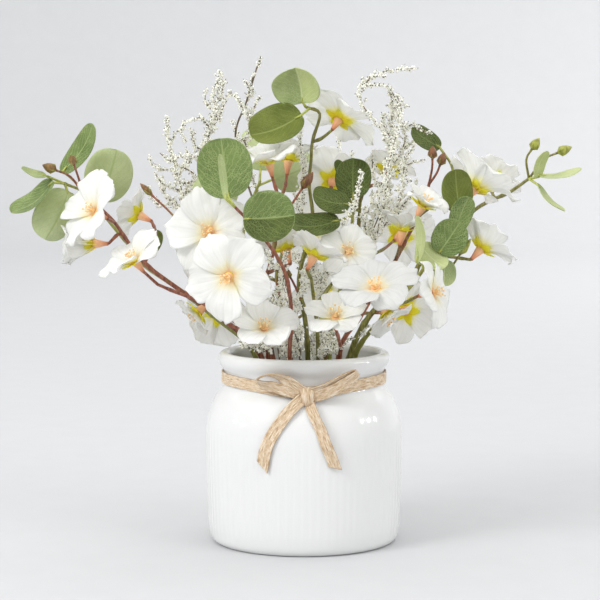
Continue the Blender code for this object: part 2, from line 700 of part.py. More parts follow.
def stalked_calyx(name, twig, group):
    """Twig that ends in a tube with five pointed sepals under a blossom, as one loft of five sides."""
    place, facing, spin = BLOSSOMS[name][:3]
    frame = frame_towards(place, facing, spin + 36)
    points = twig_rings(twig, frame.to_3x3() @ Vector((1, 0, 0)))
    belly = len(points)
    for angle in FIVE_WAYS:
        points.append(frame @ Vector((CALYX_RADIUS * math.cos(angle), CALYX_RADIUS * math.sin(angle),
                                      -CALYX_TOP - SEPAL_DROP)))
    star = len(points)
    for angle in FIVE_WAYS:
        valley = angle + 0.5 * FIVE_WAYS[1]
        for way, reach in ((angle, SEPAL_REACH), (valley, SEPAL_VALLEY)):
            points.append(frame @ Vector((reach * math.cos(way), reach * math.sin(way), -CALYX_TOP)))
    top = len(points)
    points += [frame @ Vector((0, 0, -CALYX_TOP)), twig[-1]]
    faces = []
    for k in range(5):
        j = (k + 1) % 5
        faces.append((top + 1, j, k))
        for low in range(0, belly, 5):
            faces += [(low + k, low + j, low + 5 + j), (low + k, low + 5 + j, low + 5 + k)]
        tip = star + 2 * k
        after = star + 2 * j
        faces += [(belly + k, tip + 1, tip), (belly + k, belly + j, tip + 1), (belly + j, after, tip + 1)]
        faces += [(top, tip, tip + 1), (top, tip + 1, after)]
    return make_object("calyx", mesh_from("calyx", points, faces), group)


def bud(twig, length, thick, group):
    """Twig that ends in a pointed bud."""
    along = (twig[-1] - twig[-2]).normalized()
    route = twig + [twig[-1] + along * (length * share) for share, _ in BUD_SHAPE]
    radii = [BUD_TWIG_RADIUS] * len(twig) + [0.5 * thick * fullness for _, fullness in BUD_SHAPE]
    return tube(route, radii, 1, group)


def stem_route(spec, step):
    """Straight up out of the foam, then along the smooth route."""
    x, y = spec["foam"]
    top = (x, y, FOAM_TOP + 2.0)
    return [Vector((x, y, SOCKET_FLOOR + GAP))] + smooth_route([top] + spec["route"], step)


def build_stems(stems, material, holder):
    for name, spec in stems.items():
        thick, thin = spec["thick"]
        route = stem_route(spec, STEM_STEP)
        pieces = [tube(route, taper(route, thick, thin), 1, holder)]
        for blossom, via in spec.get("blossoms", {}).items():
            twig = smooth_route([calyx_foot(blossom)] + via[:-1] + [onto(route, via[-1])], TWIG_STEP)
            pieces.append(stalked_calyx(blossom, twig, holder))
        for twig, length, width in spec.get("buds", []):
            twig = smooth_route([onto(route, twig[0])] + twig[1:], TWIG_STEP)
            pieces.append(bud(twig, length, width, holder))
        for stalk, tip, facing, width, fold in spec["leaves"]:
            stalk = smooth_route([onto(route, stalk[0])] + stalk[1:], STALK_STEP)
            pieces.append(leaf(stalk, tip, facing, width, fold, holder))
        joined(name, pieces, material, holder)


def leaf(stalk, tip, facing, width, fold, group):
    """Flat stalk and round blade in one sheet; the blade is folded along its midrib."""
    foot = stalk[-1]
    along = Vector(tip) - foot
    length = along.length
    along.normalize()
    up = Vector(facing)
    up = (up - along * up.dot(along)).normalized()
    side = along.cross(up)
    points = []
    for i, place in enumerate(stalk):
        run = stalk[min(i + 1, len(stalk) - 1)] - stalk[max(i - 1, 0)]
        across = (run.cross(up).normalized() + side * 0.6).normalized() * STALK_HALF
        points += [place - across, place + across]
    faces = []
    for i in range(len(stalk) - 1):
        a = 2 * i
        faces += [(a, a + 2, a + 1), (a + 1, a + 2, a + 3)]
    first = len(points)
    lift = math.tan(math.radians(fold))
    for share in BLADE_ROWS:
        half = 0.5 * width * math.sqrt(1.0 - (2.0 * share - 1.0) ** 2) ** 0.8
        bow = -BLADE_SAG * length * math.sin(math.pi * share)
        centre = foot + along * (length * share) + up * bow
        raised = up * (half * lift)
        points += [centre - side * half + raised, centre, centre + side * half + raised]
    points.append(Vector(tip))
    faces += [(first - 2, first, first + 1), (first - 2, first + 1, first - 1)]
    faces.append((first - 1, first + 1, first + 2))
    for row in range(len(BLADE_ROWS) - 1):
        a = first + 3 * row
        faces += [(a, a + 3, a + 1), (a + 1, a + 3, a + 4), (a + 1, a + 4, a + 2), (a + 2, a + 4, a + 5)]
    last = len(points) - 1
    faces += [(last - 3, last, last - 2), (last - 2, last, last - 1)]
    return thickened("leaf", points, faces, LEAF_THICK, group)


def sprig(foot, along, length, thick, group):
    """Short twig end thick with florets, as one slim spindle."""
    work = bmesh.new()
    bmesh.ops.create_uvsphere(work, u_segments=4, v_segments=3, radius=0.5)
    for vert in work.verts:
        vert.co.x *= thick
        vert.co.y *= thick
        vert.co.z = (vert.co.z + 0.44) * length
    bmesh.ops.transform(work, matrix=frame_towards(foot, along), verts=work.verts)
    bmesh.ops.scale(work, vec=(MM, MM, MM), verts=work.verts)
    mesh = bpy.data.meshes.new("sprig")
    work.to_mesh(mesh)
    work.free()
    return make_object("sprig", mesh, group)


def build_filler(material, holder):
    for number, (name, (foam, points, bare)) in enumerate(FILLER.items()):
        rng = random.Random(100 + number)
        route = stem_route({"foam": foam, "route": points}, SPRAY_STEP)
        pieces = [tube(route, taper(route, *SPRAY_RADII), 0, holder)]
        for i in range(round(bare * len(route)), len(route)):
            along = (route[i] - route[i - 1]).normalized()
            for side in range(1 + i % 2 if i < len(route) - 1 else 1):
                turn = Matrix.Rotation(2.4 * i + math.pi * side, 3, along)
                outward = turn @ along.orthogonal().normalized() + along * 1.1
                if i == len(route) - 1:
                    outward = along
                foot = route[i] - along * (4.0 * side)
                pieces.append(sprig(foot, outward, rng.uniform(*SPRIG_LENGTHS), SPRIG_THICK, holder))
        joined(name, pieces, material, holder)


def build_foam(material):
    """Foam plug standing on the jar's floor, with a plain socket for each stem."""
    bpy.ops.mesh.primitive_cylinder_add(vertices=FOAM_STEPS, radius=FOAM_RADIUS * MM,
                                        depth=(FOAM_TOP - FLOOR - GAP) * MM,
                                        location=(0, 0, 0.5 * (FOAM_TOP + FLOOR + GAP) * MM))
    foam = moved_to(PARTS)
    foam.name = "foam"
    foam.data.materials.append(material)
    sockets = [(spec["foam"], spec["thick"][0]) for spec in [*CHERRY.values(), *EUCALYPTUS.values()]]
    sockets += [(foam_place, SPRAY_RADII[0]) for foam_place, _, _ in FILLER.values()]
    for (x, y), thick in sockets:
        radius = (thick + SOCKET_CLEAR) * SOCKET_CORNER * MM
        middle = SOCKET_FLOOR + 0.5 * SOCKET_HEIGHT
        bpy.ops.mesh.primitive_cylinder_add(vertices=SOCKET_SIDES, radius=radius, depth=SOCKET_HEIGHT * MM,
                                            location=(x * MM, y * MM, middle * MM))
        cutter = moved_to(CUTTERS)
        cutter.name = "socket_cutter"
        cutter.hide_render = True
        cutter.display_type = "WIRE"
    cut = foam.modifiers.new("Sockets", "BOOLEAN")
    cut.operation = "DIFFERENCE"
    cut.operand_type = "COLLECTION"
    cut.collection = CUTTERS
    cut.solver = "EXACT"


def main():
    global PARTS, CUTTERS
    clear_scene()
    PARTS = make_collection("vase_of_cherry_blossom_and_eucalyptus")
    CUTTERS = make_collection("cutters")
    holder = make_collection("joining")
    glaze = make_material("white_glaze", (0.86, 0.87, 0.87), 0.12)
    dry_foam = make_material("dry_foam", (0.10, 0.17, 0.08), 0.95)
    jute = make_material("jute", (0.58, 0.44, 0.27), 0.9)
    petal = make_material("white_petal", (0.86, 0.86, 0.82), 0.6)
    bark = make_material("brown_stem", (0.19, 0.09, 0.045), 0.6)
    green = make_material("eucalyptus_green", (0.10, 0.22, 0.09), 0.55)
    cream = make_material("cream_filler", (0.72, 0.70, 0.60), 0.85)
    build_jar(glaze)
    build_foam(dry_foam)
    build_band(jute)
    build_bow(jute, holder)
    build_blossoms(petal)
    build_stems(CHERRY, bark, holder)
    build_stems(EUCALYPTUS, green, holder)
    build_filler(cream, holder)
    bpy.data.collections.remove(holder)


main()
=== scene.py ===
"""Visual model of a glazed jar of artificial cherry blossom, eucalyptus and white filler with a jute bow.

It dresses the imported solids. Tables are in millimetres and degrees, as in the part's own source, and
the pieces are built in metres. +Z is up, the jar's foot is at z = 0 and the bow faces -Y.
"""

import math
import random

import bpy
import numpy as np
from mathutils import Matrix, Vector, noise


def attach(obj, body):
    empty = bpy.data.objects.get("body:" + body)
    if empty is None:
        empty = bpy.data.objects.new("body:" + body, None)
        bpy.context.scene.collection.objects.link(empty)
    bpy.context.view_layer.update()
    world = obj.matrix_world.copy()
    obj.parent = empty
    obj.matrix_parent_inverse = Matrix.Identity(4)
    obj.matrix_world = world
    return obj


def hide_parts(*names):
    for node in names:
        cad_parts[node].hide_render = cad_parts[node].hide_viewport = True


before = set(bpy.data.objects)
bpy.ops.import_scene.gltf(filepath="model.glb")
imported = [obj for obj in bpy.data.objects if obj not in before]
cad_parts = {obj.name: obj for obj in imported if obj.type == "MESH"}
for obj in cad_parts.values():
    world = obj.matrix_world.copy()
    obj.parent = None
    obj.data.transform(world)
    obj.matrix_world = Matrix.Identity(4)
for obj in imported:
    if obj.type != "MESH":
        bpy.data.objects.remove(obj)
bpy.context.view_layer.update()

MM = 0.001
TURN = 2 * math.pi
TINY = 1e-12

# Second surface coordinate for each millimetre along a strap, stem or twig
COORD_SCALE = 0.01

# Jar
RIM_TOP = 109.5
RIM_RADIUS = 49.3
RIM_BEAD = 8.0
NECK_RADIUS = 46.0
NECK_BOTTOM = 90.5
BODY_RADIUS = 56.5
FOOT_RADIUS = 51.5
WALL = 3.4
FLOOR = 4.5
FLUTES = 80
FLUTE_DEPTH = 0.13
FLUTE_STEPS = 6

# Heights between which the flutes fade in and out again
FLUTE_HEIGHTS = (4.0, 14.0, 54.0, 70.0)

# Dry flower foam in the jar
FOAM_TOP = 82.0
SOCKET_FLOOR = 58.0
GAP = 0.3

# Jute strap
STRAP_WIDTH = 6.5
STRAP_THICK = 0.9
STRAP_STEP = 0.5
BAND_CLEAR = 0.5
BAND_Z = 95.0
BAND_DIP = 3.4
BAND_STEPS = 620
THREADS = 6
THREAD_STEPS = 5
STRANDS = 10
WEFT_PITCH = 1.1
KNOT = (1.9, -51.2, 89.8)
KNOT_SIZE = (7.4, 6.4, 10.6)
KNOT_LEAN = 0.12

# Blossom. Widths are half the petal's, along its length, both as shares of the length. The calyx has its
# radius along its length.
PETALS = 5
PETAL_THICK = 0.22
PETAL_WIDTHS = ((0.0, 0.045), (0.1, 0.11), (0.25, 0.22), (0.45, 0.345), (0.65, 0.415), (0.82, 0.395),
                (0.93, 0.32), (1.0, 0.21))
PETAL_ROWS = 21
PETAL_COLUMNS = 19
THROAT_SINK = 0.2
STAMENS = 11
CALYX_LENGTH = 11.0
CALYX_TOP = 0.65
CALYX_SHAPE = ((0.0, 0.95), (0.06, 1.25), (0.14, 1.15), (0.4, 1.7), (0.7, 2.35), (0.9, 2.75), (1.0, 2.5))
SEPAL_REACH = 9.2
SEPAL_HALF = 2.9
SEPAL_THICK = 0.3
TWIG_RADIUS = 0.85

# Bud: distance along it and share of its full thickness
BUD_TWIG_RADIUS = 0.75
BUD_SHAPE = ((0.03, 0.42), (0.1, 0.62), (0.22, 0.88), (0.38, 1.0), (0.55, 0.96), (0.72, 0.74),
             (0.87, 0.42), (1.0, 0.1))

# Leaf
LEAF_THICK = 0.4
STALK_RADIUS = 0.75
BLADE_ROWS = 21
BLADE_COLUMNS = 19

# Material slots of the blossoms
FACE_SLOT = 0
STAMEN_SLOT = 1
BACK_SLOT = 2

# Material slots of the filler
TWIG_SLOT = 0
FLORET_SLOT = 1
BRACT_SLOT = 2

# Material slots of the stems
STEM_SLOT = 0
CALYX_SLOT = 1
SEPAL_SLOT = 2
BUD_SLOT = 3
STALK_SLOT = 4
LEAF_SLOTS = {"d": 5, "m": 6, "l": 7, "o": 8, "p": 9, "under": 10}

# Each blossom by its number: middle, the way it faces, turn about that way, cup angle and petal length
BLOSSOMS = {
    1: ((-52, -52, 181), (-0.35, -0.9, 0.15), 33, 18, 27),
    2: ((-41, -77, 158), (-0.35, -0.9, -0.1), 54, 18, 27),
    3: ((-22, -61, 129), (-0.05, -0.6, 0.8), 20, 26, 21),
    4: ((-119, -16, 191), (-0.7, -0.48, 0.48), 36, 22, 27),
    5: ((-98, 37, 186), (-0.85, 0.3, 0.4), 0, 45, 19),
    6: ((-95, -36, 165), (-0.55, -0.35, 0.75), 18, 32, 23),
    7: ((-122, 1, 171), (-0.97, -0.05, 0.0), 15, 72, 25),
    8: ((-20, -8, 219), (-0.2, -0.25, 1.0), 0, 38, 22),
    9: ((-9, 24, 219), (0.1, 0.3, 1.0), 20, 42, 22),
    10: ((21, 12, 243), (0.5, 0.48, 0.72), 18, 12, 26),
    11: ((17, 44, 206), (0.1, 0.9, 0.45), 0, 26, 23),
    12: ((-11, 8, 168), (-0.35, 0.3, 0.95), 10, 40, 23),
    13: ((6, -45, 168), (0.45, 0.3, 0.85), 30, 38, 20),
    14: ((38, -78, 153), (-0.15, -0.55, 0.82), 28, 21, 27),
    15: ((17, -62, 136), (-0.05, -0.5, 0.85), 20, 30, 20),
    16: ((72, -46, 147), (0.87, -0.4, 0.22), 40, 20, 21),
    17: ((98, -9, 204), (0.6, 0.2, 0.75), 36, 38, 28),
    18: ((101, -13, 170), (0.62, 0.25, 0.65), 0, 34, 25),
    19: ((113, 36, 206), (0.3, 0.65, 0.7), 10, 34, 19),
    20: ((67, -24, 195), (0.4, -0.3, 0.85), 20, 40, 16),
    21: ((56, -6, 180), (0.15, 0.05, 1.0), 0, 44, 18),
    22: ((-61, -10, 132), (-0.75, -0.1, -0.65), 0, 34, 15),
    23: ((25, -19, 168), (0.0, -0.9, 0.35), 10, 22, 18),
    24: ((50, 33, 213), (0.2, 0.6, 0.8), 0, 30, 18),
    25: ((47, -14, 131), (0.55, -0.3, -0.7), 0, 34, 17),
    26: ((-54, 58, 164), (-0.4, 0.9, 0.4), 0, 20, 26),
    27: ((6, 78, 176), (0.0, 1.0, 0.4), 20, 18, 26),
    28: ((58, 62, 172), (0.45, 0.9, 0.3), 10, 20, 26),
    29: ((-52, 54, 126), (-0.5, 0.8, -0.1), 30, 24, 23),
    30: ((62, 46, 128), (0.6, 0.75, -0.1), 0, 24, 23),
    31: ((14, 64, 132), (0.1, 1.0, 0.1), 0, 20, 25),
}

# Stems of cherry blossom. The route starts where the stem leaves the foam, and thick is its radius at the
# foot and at the tip. Tones go from 0 for red-brown to 1 for olive. A side twig to a blossom starts at the
# foot of that blossom's calyx and lists only the points after it, down to the stem. A bud has its twig
# from the stem outwards, then its length and thickness. Leaves are given as in the next table.
CHERRY = {
    "cherry_left": {
        "foam": (-22, 8),
        "route": [(-26, 6, 108), (-45, 2, 126), (-73, -2, 146), (-90, -2, 159), (-101, 2, 172),
                  (-109, 6, 183), (-119, 12, 192), (-128, 13, 199)],
        "thick": (1.9, 0.9),
        "tone": 0.15, "bud_tone": 0.25,
        "blossoms": {4: [(-109, 5, 183)], 5: [(-86, 18, 174), (-91, -1, 160)],
                     7: [(-107, 5, 176), (-104, 3, 176)]},
        "buds": [([(-127, 13, 198), (-134, 7, 209), (-142, 3, 213)], 8.5, 5.6),
                 ([(-127, 13, 198), (-129, 4, 208), (-131, -4, 217)], 6.5, 4.8)],
    },
    "cherry_left_front": {
        "foam": (-16, -10),
        "route": [(-21, -13, 109), (-37, -22, 127), (-58, -27, 140), (-72, -30, 146), (-82, -28, 150)],
        "thick": (1.6, 0.9),
        "tone": 0.1, "bud_tone": 0.2,
        "blossoms": {1: [(-50, -38, 160), (-48, -25, 134)],
                     2: [(-42, -50, 146), (-37, -22, 127)],
                     6: [(-82, -28, 150)], 22: [(-44, -15, 127), (-33, -20, 123)]},
        "buds": [([(-45, -24, 131), (-58, -14, 160), (-72, -4, 184), (-87, 0, 199)], 9.5, 3.6)],
    },
    "cherry_centre_left": {
        "foam": (-12, -21),
        "route": [(-18, -24, 110), (-22, -28, 130), (-24, -27, 140), (-24, -23, 148), (-20, -21, 158),
                  (-17, -20, 170), (-15, -15, 184), (-14, -4, 197)],
        "thick": (1.7, 0.9),
        "tone": 0.2, "bud_tone": 0.1,
        "blossoms": {3: [(-21, -34, 118), (-19, -26, 114)], 8: [(-14, -4, 196)],
                     9: [(-11, 10, 203), (-14, -5, 195)],
                     12: [(-16, -8, 157), (-21, -20, 155)]},
        "buds": [([(-15, -16, 180), (-7, -8, 194), (-1, -6, 203)], 11.0, 5.8)],
    },
    "cherry_centre": {
        "foam": (2, -12),
        "route": [(2, -14, 112), (0, -13, 133), (-3, -10, 148), (-1, -4, 161), (3, 4, 173),
                  (5, 12, 187), (3, 13, 204), (4, 12, 218), (5, 10, 230), (9, 7, 245), (1, 4, 249)],
        "thick": (1.7, 0.8),
        "tone": 0.85, "bud_tone": 0.2,
        "blossoms": {10: [(10, 9, 231), (5, 10, 229)]},
        "buds": [([(-2, -12, 140), (-6, -18, 150), (-8, -22, 154)], 9.0, 3.4)],
        "leaves": [
            # This blade's second half is painted paler: painted light on the flap of its fold.
            ([(1, 4, 249), (-1, 2, 252)], (-5, -5, 271), (-0.35, -0.93, 0.0), 29, 30, "lp"),
            ([(3, 5, 248), (-2, -2, 244)], (-30, -8, 233), (-0.2, -0.85, 0.5), 26, 22, "o"),
        ],
    },
    "cherry_centre_front": {
        "foam": (8, -22),
        "route": [(8, -22, 108), (7, -26, 130), (5, -31, 145), (4, -38, 154)],
        "thick": (1.5, 0.9),
        "tone": 0.9,
        "blossoms": {13: [(4, -38, 154)], 23: [(16, -17, 150), (6, -28, 138)]},
    },
    "cherry_right_front": {
        "foam": (17, -22),
        "route": [(20, -30, 110), (22, -37, 120), (30, -43, 131), (36, -49, 142)],
        "thick": (1.6, 0.9),
        "tone": 0.15,
        "blossoms": {14: [(36, -60, 148), (36, -49, 142)],
                     15: [(19, -48, 122), (21, -34, 114)]},
    },
    "cherry_right": {
        "foam": (24, -6),
        "route": [(27, -9, 110), (38, -14, 132), (50, -14, 141), (61, -8, 151), (68, -1, 163),
                  (78, 3, 173), (90, 6, 182), (99, 13, 190), (108, 16, 195), (119, 15, 200), (129, 6, 208)],
        "thick": (2.1, 0.9),
        "tone": 0.8, "bud_tone": 0.9,
        "blossoms": {16: [(55, -24, 139), (48, -15, 139)], 17: [(91, 4, 182)],
                     18: [(83, -7, 164), (70, -1, 164)],
                     19: [(110, 14, 196), (109, 4, 195)],
                     25: [(40, -13, 136)]},
        "buds": [([(128, 3, 207), (127, 2, 219), (130, 1, 225)], 7.5, 5.4),
                 ([(128, 3, 207), (137, 3, 219), (145, 2, 223)], 8.5, 5.4),
                 ([(69, -1, 163), (75, -8, 156), (82, -17, 158), (88, -22, 167)], 11.0, 3.8)],
        "leaves": [
            ([(129, 3, 208), (135, 0, 210)], (158, -2, 214), (0.0, -0.15, 1.0), 18, 6, "p"),
            ([(128, 3, 207), (133, -2, 205)], (148, -6, 190), (0.75, -0.25, 0.6), 14, 10, "p"),
            ([(128, 3, 207), (133, 0, 209)], (138, -4, 224), (0.6, -0.7, 0.1), 9, 10, "p"),
        ],
    },
    "cherry_right_upper": {
        "foam": (18, 8),
        "route": [(22, 8, 112), (34, 6, 132), (46, 3, 150), (53, 4, 162), (62, 14, 178), (69, 13, 192),
                  (72, 6, 206)],
        "thick": (1.7, 0.9),
        "tone": 0.4, "bud_tone": 0.1,
        "blossoms": {20: [(73, -10, 195), (71, 9, 200)], 21: [(53, 4, 162)]},
        "buds": [([(71, 7, 205), (73, -1, 214), (73, -4, 220)], 7.5, 5.0),
                 ([(71, 7, 205), (76, 6, 211), (78, 6, 216)], 7.5, 5.0)],
    },
    "cherry_back_right": {
        "foam": (10, 18),
        "route": [(14, 22, 112), (24, 30, 135), (30, 34, 155), (32, 34, 175), (33, 31, 195)],
        "thick": (1.8, 1.0),
        "tone": 0.5,
        "blossoms": {11: [(20, 28, 196), (33, 31, 188)],
                     24: [(37, 29, 202), (33, 31, 194)],
                     28: [(46, 46, 164), (32, 34, 158)],
                     30: [(40, 32, 128), (22, 28, 128)]},
    },
    "cherry_back_left": {
        "foam": (-8, 20),
        "route": [(-10, 26, 112), (-14, 34, 135), (-16, 40, 152), (-12, 48, 164)],
        "thick": (1.8, 1.0),
        "tone": 0.5,
        "blossoms": {26: [(-36, 44, 156), (-15, 38, 146)],
                     27: [(-2, 60, 168), (-12, 48, 163)],
                     29: [(-34, 38, 124), (-12, 30, 120)],
                     31: [(4, 48, 128), (-12, 29, 120)]},
    },
}

# Stems of eucalyptus. Each leaf has its stalk from the stem to the foot of the blade, then the blade's
# tip, the way its upper side faces, its width, its fold along the midrib and its shade: d dark, m middle,
# o olive, l light, p pale, or two letters for the two halves, where a paler second half is painted light and
# a darker one painted shade, on that side of the fold. A stem with a tone looks like cherry.
EUCALYPTUS = {
    "eucalyptus_left": {
        "foam": (-26, 16),
        "route": [(-30, 15, 108), (-50, 14, 126), (-75, 8, 146), (-91, 9, 157), (-100, 19, 167),
                  (-112, 26, 180), (-126, 24, 198), (-138, 12, 205)],
        "thick": (1.7, 0.8),
        "leaves": [
            ([(-126, 22, 199), (-134, 18, 207), (-139, 12, 212)],
             (-121, 9, 239), (-0.5, -0.8, 0.3), 15, 8, "m"),
            ([(-138, 12, 205), (-144, 2, 206)], (-167, -2, 189), (-0.5, -0.4, 0.77), 24, 12, "m"),
            ([(-138, 12, 205), (-136, 10, 200)], (-149, 8, 173), (-0.5, 0.84, -0.2), 26, 26, "p"),
            ([(-120, 26, 190), (-118, 26, 195)], (-109, 26, 224), (-0.2, 1.0, 0.0), 28, 26, "l"),
            ([(-138, 12, 205), (-148, 2, 210)], (-160, -8, 214), (0.1, -0.6, 0.8), 8, 20, "l"),
            ([(-95, 14, 162), (-90, 25, 164)], (-85, 27, 177), (0.0, -1.0, 0.2), 9, 10, "o"),
        ],
    },
    "eucalyptus_centre_left": {
        "foam": (-4, -28),
        "route": [(-8, -36, 110), (-7, -42, 135), (-11, -54, 160), (-24, -65, 181), (-38, -69, 196)],
        "thick": (1.5, 0.8),
        "tone": 0.0,
        "leaves": [
            ([(-38, -69, 196), (-41, -68, 201)], (-45, -62, 232), (0.0, -1.0, 0.1), 30, 10, "m"),
            # This blade's second half is painted darker: painted shade in the hollow of its fold.
            ([(-30, -67, 185), (-32, -70, 189)], (-5, -72, 191), (0.0, -1.0, 0.25), 28, 26, "md"),
            ([(-38, -69, 195), (-42, -75, 200)], (-45, -76, 224), (0.0, -1.0, 0.1), 4, 10, "l"),
        ],
    },
    "eucalyptus_centre": {
        "foam": (14, -8),
        "route": [(15, -6, 112), (18, 0, 135), (24, 4, 155), (27, 4, 175), (28, 0, 192)],
        "thick": (1.5, 0.8),
        "leaves": [
            ([(28, 0, 191), (28, -3, 198)], (28, -9, 220), (0.1, -0.95, 0.3), 21, 12, "d"),
            ([(28, 0, 191), (25, -10, 194)], (5, -16, 200), (0.0, -0.75, 0.65), 18, 10, "d"),
            ([(28, 1, 187), (19, -16, 185)], (-9, -26, 184), (0.0, -0.65, 0.75), 19, 12, "d"),
            ([(28, 0, 191), (22, 0, 208)], (19, -2, 219), (-0.5, -0.8, 0.2), 7, 10, "d"),
        ],
    },
    "eucalyptus_right": {
        "foam": (26, 4),
        "route": [(31, 2, 110), (46, -6, 130), (60, -18, 148), (67, -22, 158), (74, -22, 170),
                  (84, -17, 184), (82, -8, 200)],
        "thick": (1.7, 0.8),
        "leaves": [
            ([(84, -17, 184), (88, -17, 190)], (85, -19, 214), (0.1, -0.95, 0.2), 18, 10, "o"),
            ([(84, -17, 184), (85, -23, 180)], (92, -26, 199), (0.2, -0.8, 0.3), 13, 10, "m"),
            ([(68, -23, 160), (63, -32, 163)], (63, -35, 189), (-0.8, -0.5, 0.1), 9, 10, "p"),
            ([(67, -22, 158), (65, -27, 172)], (79, -31, 160), (0.2, -0.7, 0.6), 16, 10, "p"),
            ([(74, -22, 170), (76, -26, 168)], (87, -30, 185), (0.1, -0.9, 0.35), 20, 10, "m"),
            ([(71, -22, 165), (80, -22, 163)], (79, -24, 149), (0.4, -0.85, 0.2), 14, 10, "l"),
            ([(82, -8, 199), (85, 6, 214), (78, 12, 226)], (62, 8, 237), (0.2, -0.9, 0.3), 12, 10, "d"),
        ],
    },
    "eucalyptus_back": {
        "foam": (-16, 18),
        "route": [(-21, 20, 110), (-31, 26, 135), (-37, 38, 160), (-34, 50, 185), (-26, 54, 205)],
        "thick": (1.6, 0.8),
        "leaves": [
            ([(-26, 54, 204), (-26, 58, 212)], (-24, 62, 238), (0.0, 0.95, 0.2), 28, 10, "m"),
            ([(-27, 54, 202), (-18, 60, 206)], (6, 66, 216), (0.2, 0.9, 0.4), 26, 12, "m"),
            ([(-35, 48, 180), (-44, 52, 190)], (-62, 52, 210), (-0.4, 0.9, 0.3), 26, 12, "d"),
        ],
    },
}

# Sprays of white filler: place in the foam, route of the main twig and the share of it that is bare
FILLER = {
    "filler_left_plume": (
        (-6, 6),
        [(-8, 8, 112), (-20, 12, 145), (-42, 12, 185), (-58, 12, 218), (-52, 10, 245), (-47, 8, 266)],
        0.6),
    "filler_left_high": (
        (-2, 12),
        [(-3, 14, 112), (-12, 26, 150), (-30, 34, 195), (-40, 29, 230), (-33, 21, 253), (-26, 13, 275)],
        0.62),
    "filler_far_left": (
        (-14, 12),
        [(-16, 12, 112), (-34, 18, 145), (-62, 14, 180), (-72, 6, 208), (-78, 2, 236), (-78, 1, 244)],
        0.6),
    "filler_right_plume": (
        (12, 2),
        [(13, 2, 112), (22, 14, 145), (42, 20, 182), (49, 6, 212), (46, -10, 232), (33, -16, 250),
         (31, -14, 260), (40, -8, 267), (52, -3, 270), (65, 0, 271)],
        0.6),
    "filler_right_front": (
        (6, -6),
        [(8, -6, 112), (12, -2, 140), (26, 14, 160), (38, 8, 180), (44, -8, 202), (50, -12, 226),
         (55, -12, 244), (52, -11, 257)],
        0.6),
    "filler_front": (
        (-2, -20),
        [(-3, -24, 112), (-8, -34, 135), (-12, -40, 152)],
        0.62),
    "filler_back": (
        (4, 26),
        [(6, 36, 112), (12, 56, 150), (20, 68, 188), (22, 64, 215), (20, 60, 236)],
        0.5),
}

# Blossoms whose petal faces are painted darker, as painted shade where the lamps light them full on
PAINTED_SHADE_BLOSSOMS = (14,)

# Filler sprays whose main twig carries florets only on its side strands
BARE_TWIGS = ("filler_left_high",)

